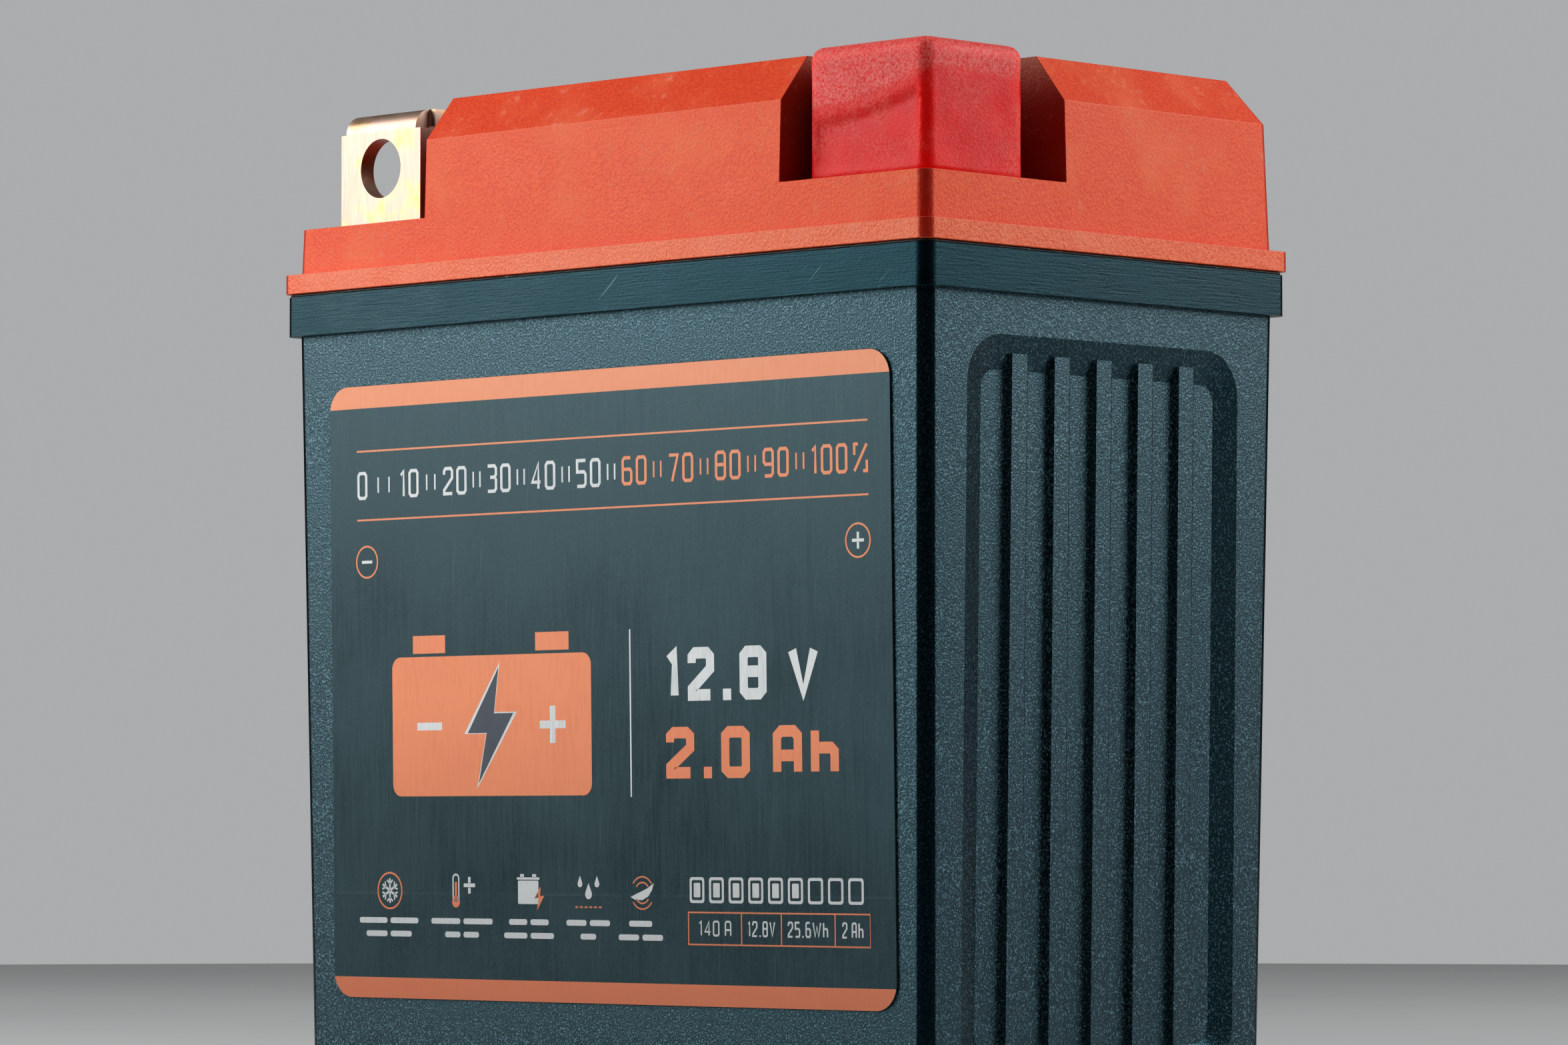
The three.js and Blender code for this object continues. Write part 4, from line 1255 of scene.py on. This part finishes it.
def make_print():
    white = Ink("white", (0.82, 0.84, 0.84), (0.62, 0.66, 0.67))
    orange = Ink("orange", (0.98, 0.275, 0.098), (0.90, 0.23, 0.085))
    dark = Ink("dark", (0.020, 0.035, 0.060), (0.03, 0.045, 0.07), BOLT_LIFT)
    orange.fill(band(77.0, LABEL_Z[1]))
    orange.fill(band(14.4, LABEL_Z[0]))
    orange.bars(0, (-37.95, 40.2, 72.15, 72.35), (-37.95, 40.2, 64.55, 64.75))
    print_scale(white, orange)
    for x in (-36.4, 38.65):
        orange.fill(disc(x, 60.02, 1.82), disc(x, 60.02, 1.62))
        white.bars(x, (-0.85, 0.85, 59.86, 60.18))
    white.bars(38.65, (-0.16, 0.16, 60.2, 60.88), (-0.16, 0.16, 59.16, 59.84))
    white.bars(0, (4.98, 5.18, 34.0, 51.7))
    white.figures("12.8 V", 10.4, 32.8, 44.0, 49.6, 1.2)
    orange.figures("2.0 Ah", 10.4, 35.6, 35.9, 41.3, 1.2)
    print_emblem(white, orange, dark)
    print_pictograms(white, orange)
    print_ratings(white, orange)
    for ink in (white, orange, dark):
        ink.lay()


# ---------------------------------------------------------------- pieces inside

# Each slot's two colours, roughness and grain size, and 1.0 for a metal.
INNER_FINISHES = {
    "cell": ((0.02, 0.11, 0.26), (0.03, 0.16, 0.34), 0.3, 4 * MM),
    "holder_plastic": ((0.012, 0.012, 0.013), (0.03, 0.03, 0.032), 0.6, 0.4 * MM),
    "nickel": ((0.56, 0.54, 0.50), (0.66, 0.64, 0.60), 0.32, 0.5 * MM, 1.0),
    "insulator_paper": ((0.50, 0.58, 0.42), (0.60, 0.66, 0.50), 0.85, 0.6 * MM),
    "foam": ((0.03, 0.03, 0.032), (0.07, 0.07, 0.072), 0.95, 0.5 * MM),
    "board_laminate": ((0.008, 0.10, 0.035), (0.015, 0.16, 0.06), 0.35, 1.2 * MM),
    "chip": ((0.010, 0.010, 0.011), (0.03, 0.03, 0.03), 0.5, 0.3 * MM),
    "connector_plastic": ((0.70, 0.69, 0.64), (0.78, 0.77, 0.73), 0.45, 0.5 * MM),
    "lead_red": ((0.45, 0.012, 0.010), (0.56, 0.025, 0.020), 0.45, 0.5 * MM),
    "lead_black": ((0.010, 0.010, 0.011), (0.025, 0.025, 0.027), 0.45, 0.5 * MM),
    "gasket_rubber": ((0.008, 0.008, 0.009), (0.02, 0.02, 0.021), 0.8, 0.4 * MM),
}


def finish_inner_pieces():
    """Gives each CAD node that stays on show its slot's procedural finish."""
    materials = {}
    for slot, values in INNER_FINISHES.items():
        materials[slot] = simple_finish(slot + "_finish", *values)
    for row in frame["record"]["subparts"]:
        slot = row["material_slot"]
        if slot in materials:
            node = frame["nodes"][row["node"]]
            node.data.materials.clear()
            paint(node, materials[slot])


# ---------------------------------------------------------------- camera, light and floor

VIEW_AZIMUTH = math.radians(44.56)
VIEW_PITCH = math.radians(2.81)
VIEW_DISTANCE = 0.6922
VIEW_AIM = Vector((0.00065, 0.00064, 0.0641))
LENS_MM = 145.45
SENSOR_MM = 36
CLIP_START = 0.01
SOFTBOX_DISTANCE = 0.60
SOFTBOX_SIZE = 0.45
SOFTBOX_COLOR = (0.97, 0.99, 1.0)
LIGHT_TARGET = Vector((0, 0, 0.06))
BACKDROP = 0.42
# Two heights in the room, then the light's strength at each of them.
CEILING = (0.4, 0.95, 0.008, 0.45)
FLOOR_RADIUS = 0.8
FLOOR_DROP = 0.2 * MM


def make_camera():
    camera = bpy.data.objects.new("camera", bpy.data.cameras.new("camera"))
    bpy.context.scene.collection.objects.link(camera)
    camera.rotation_euler = (math.pi / 2 + VIEW_PITCH, 0, VIEW_AZIMUTH)
    flat = math.cos(VIEW_PITCH)
    away = Vector(
        (math.sin(VIEW_AZIMUTH) * flat, -math.cos(VIEW_AZIMUTH) * flat, -math.sin(VIEW_PITCH))
    )
    camera.location = VIEW_AIM + VIEW_DISTANCE * away
    camera.data.lens = LENS_MM
    camera.data.sensor_width = SENSOR_MM
    camera.data.clip_start = CLIP_START
    bpy.context.scene.camera = camera


def softbox(name, direction, height, power):
    """A square light facing the battery's middle from a compass direction and height."""
    light = bpy.data.lights.new(name, "AREA")
    light.shape = "RECTANGLE"
    light.size = light.size_y = SOFTBOX_SIZE
    light.energy = power
    light.color = SOFTBOX_COLOR
    box = bpy.data.objects.new(name, light)
    turn = math.radians(direction)
    away_x, away_y = SOFTBOX_DISTANCE * math.sin(turn), -SOFTBOX_DISTANCE * math.cos(turn)
    box.location = (away_x, away_y, height)
    box.rotation_euler = (LIGHT_TARGET - box.location).to_track_quat("-Z", "Y").to_euler()
    box.visible_camera = False
    bpy.context.scene.collection.objects.link(box)


def make_lights():
    """Two square boxes that mirror in the two faces on view, and a dim ceiling over a dark room."""
    softbox("left_softbox", -46, 0.322, 3.95)
    softbox("right_softbox", 136, 0.368, 3.45)
    world = bpy.data.worlds.new("studio")
    bpy.context.scene.world = world
    world.use_nodes = True
    tree = world.node_tree
    place = add_node(tree, "ShaderNodeTexCoord").outputs["Generated"]
    height = add_node(tree, "ShaderNodeSeparateXYZ", {0: place}).outputs["Z"]
    inputs = dict(enumerate((height, *CEILING)))
    ceiling = add_node(tree, "ShaderNodeMapRange", inputs, interpolation_type="SMOOTHSTEP")
    rays = add_node(tree, "ShaderNodeLightPath").outputs["Is Camera Ray"]
    inputs = {0: rays, 2: ceiling.outputs["Result"], 3: BACKDROP}
    seen = add_node(tree, "ShaderNodeMix", inputs, data_type="FLOAT").outputs[0]
    background = tree.nodes["Background"]
    fill(background.inputs["Color"], (0.97, 0.985, 1.0, 1))
    fill(background.inputs["Strength"], seen)


def make_floor():
    bm = bmesh.new()
    bmesh.ops.create_circle(bm, cap_ends=True, segments=128, radius=FLOOR_RADIUS)
    floor = mesh_object("studio_floor", bm)
    floor.location.z = -FLOOR_DROP
    paint(floor, floor_finish())


make_camera()
make_jar()
make_lid()
make_weld_bead()
make_terminal("negative_terminal")
make_terminal("positive_terminal")
make_cap()
make_film()
make_print()
finish_inner_pieces()
make_lights()
make_floor()
bpy.context.scene.view_settings.view_transform = "Standard"
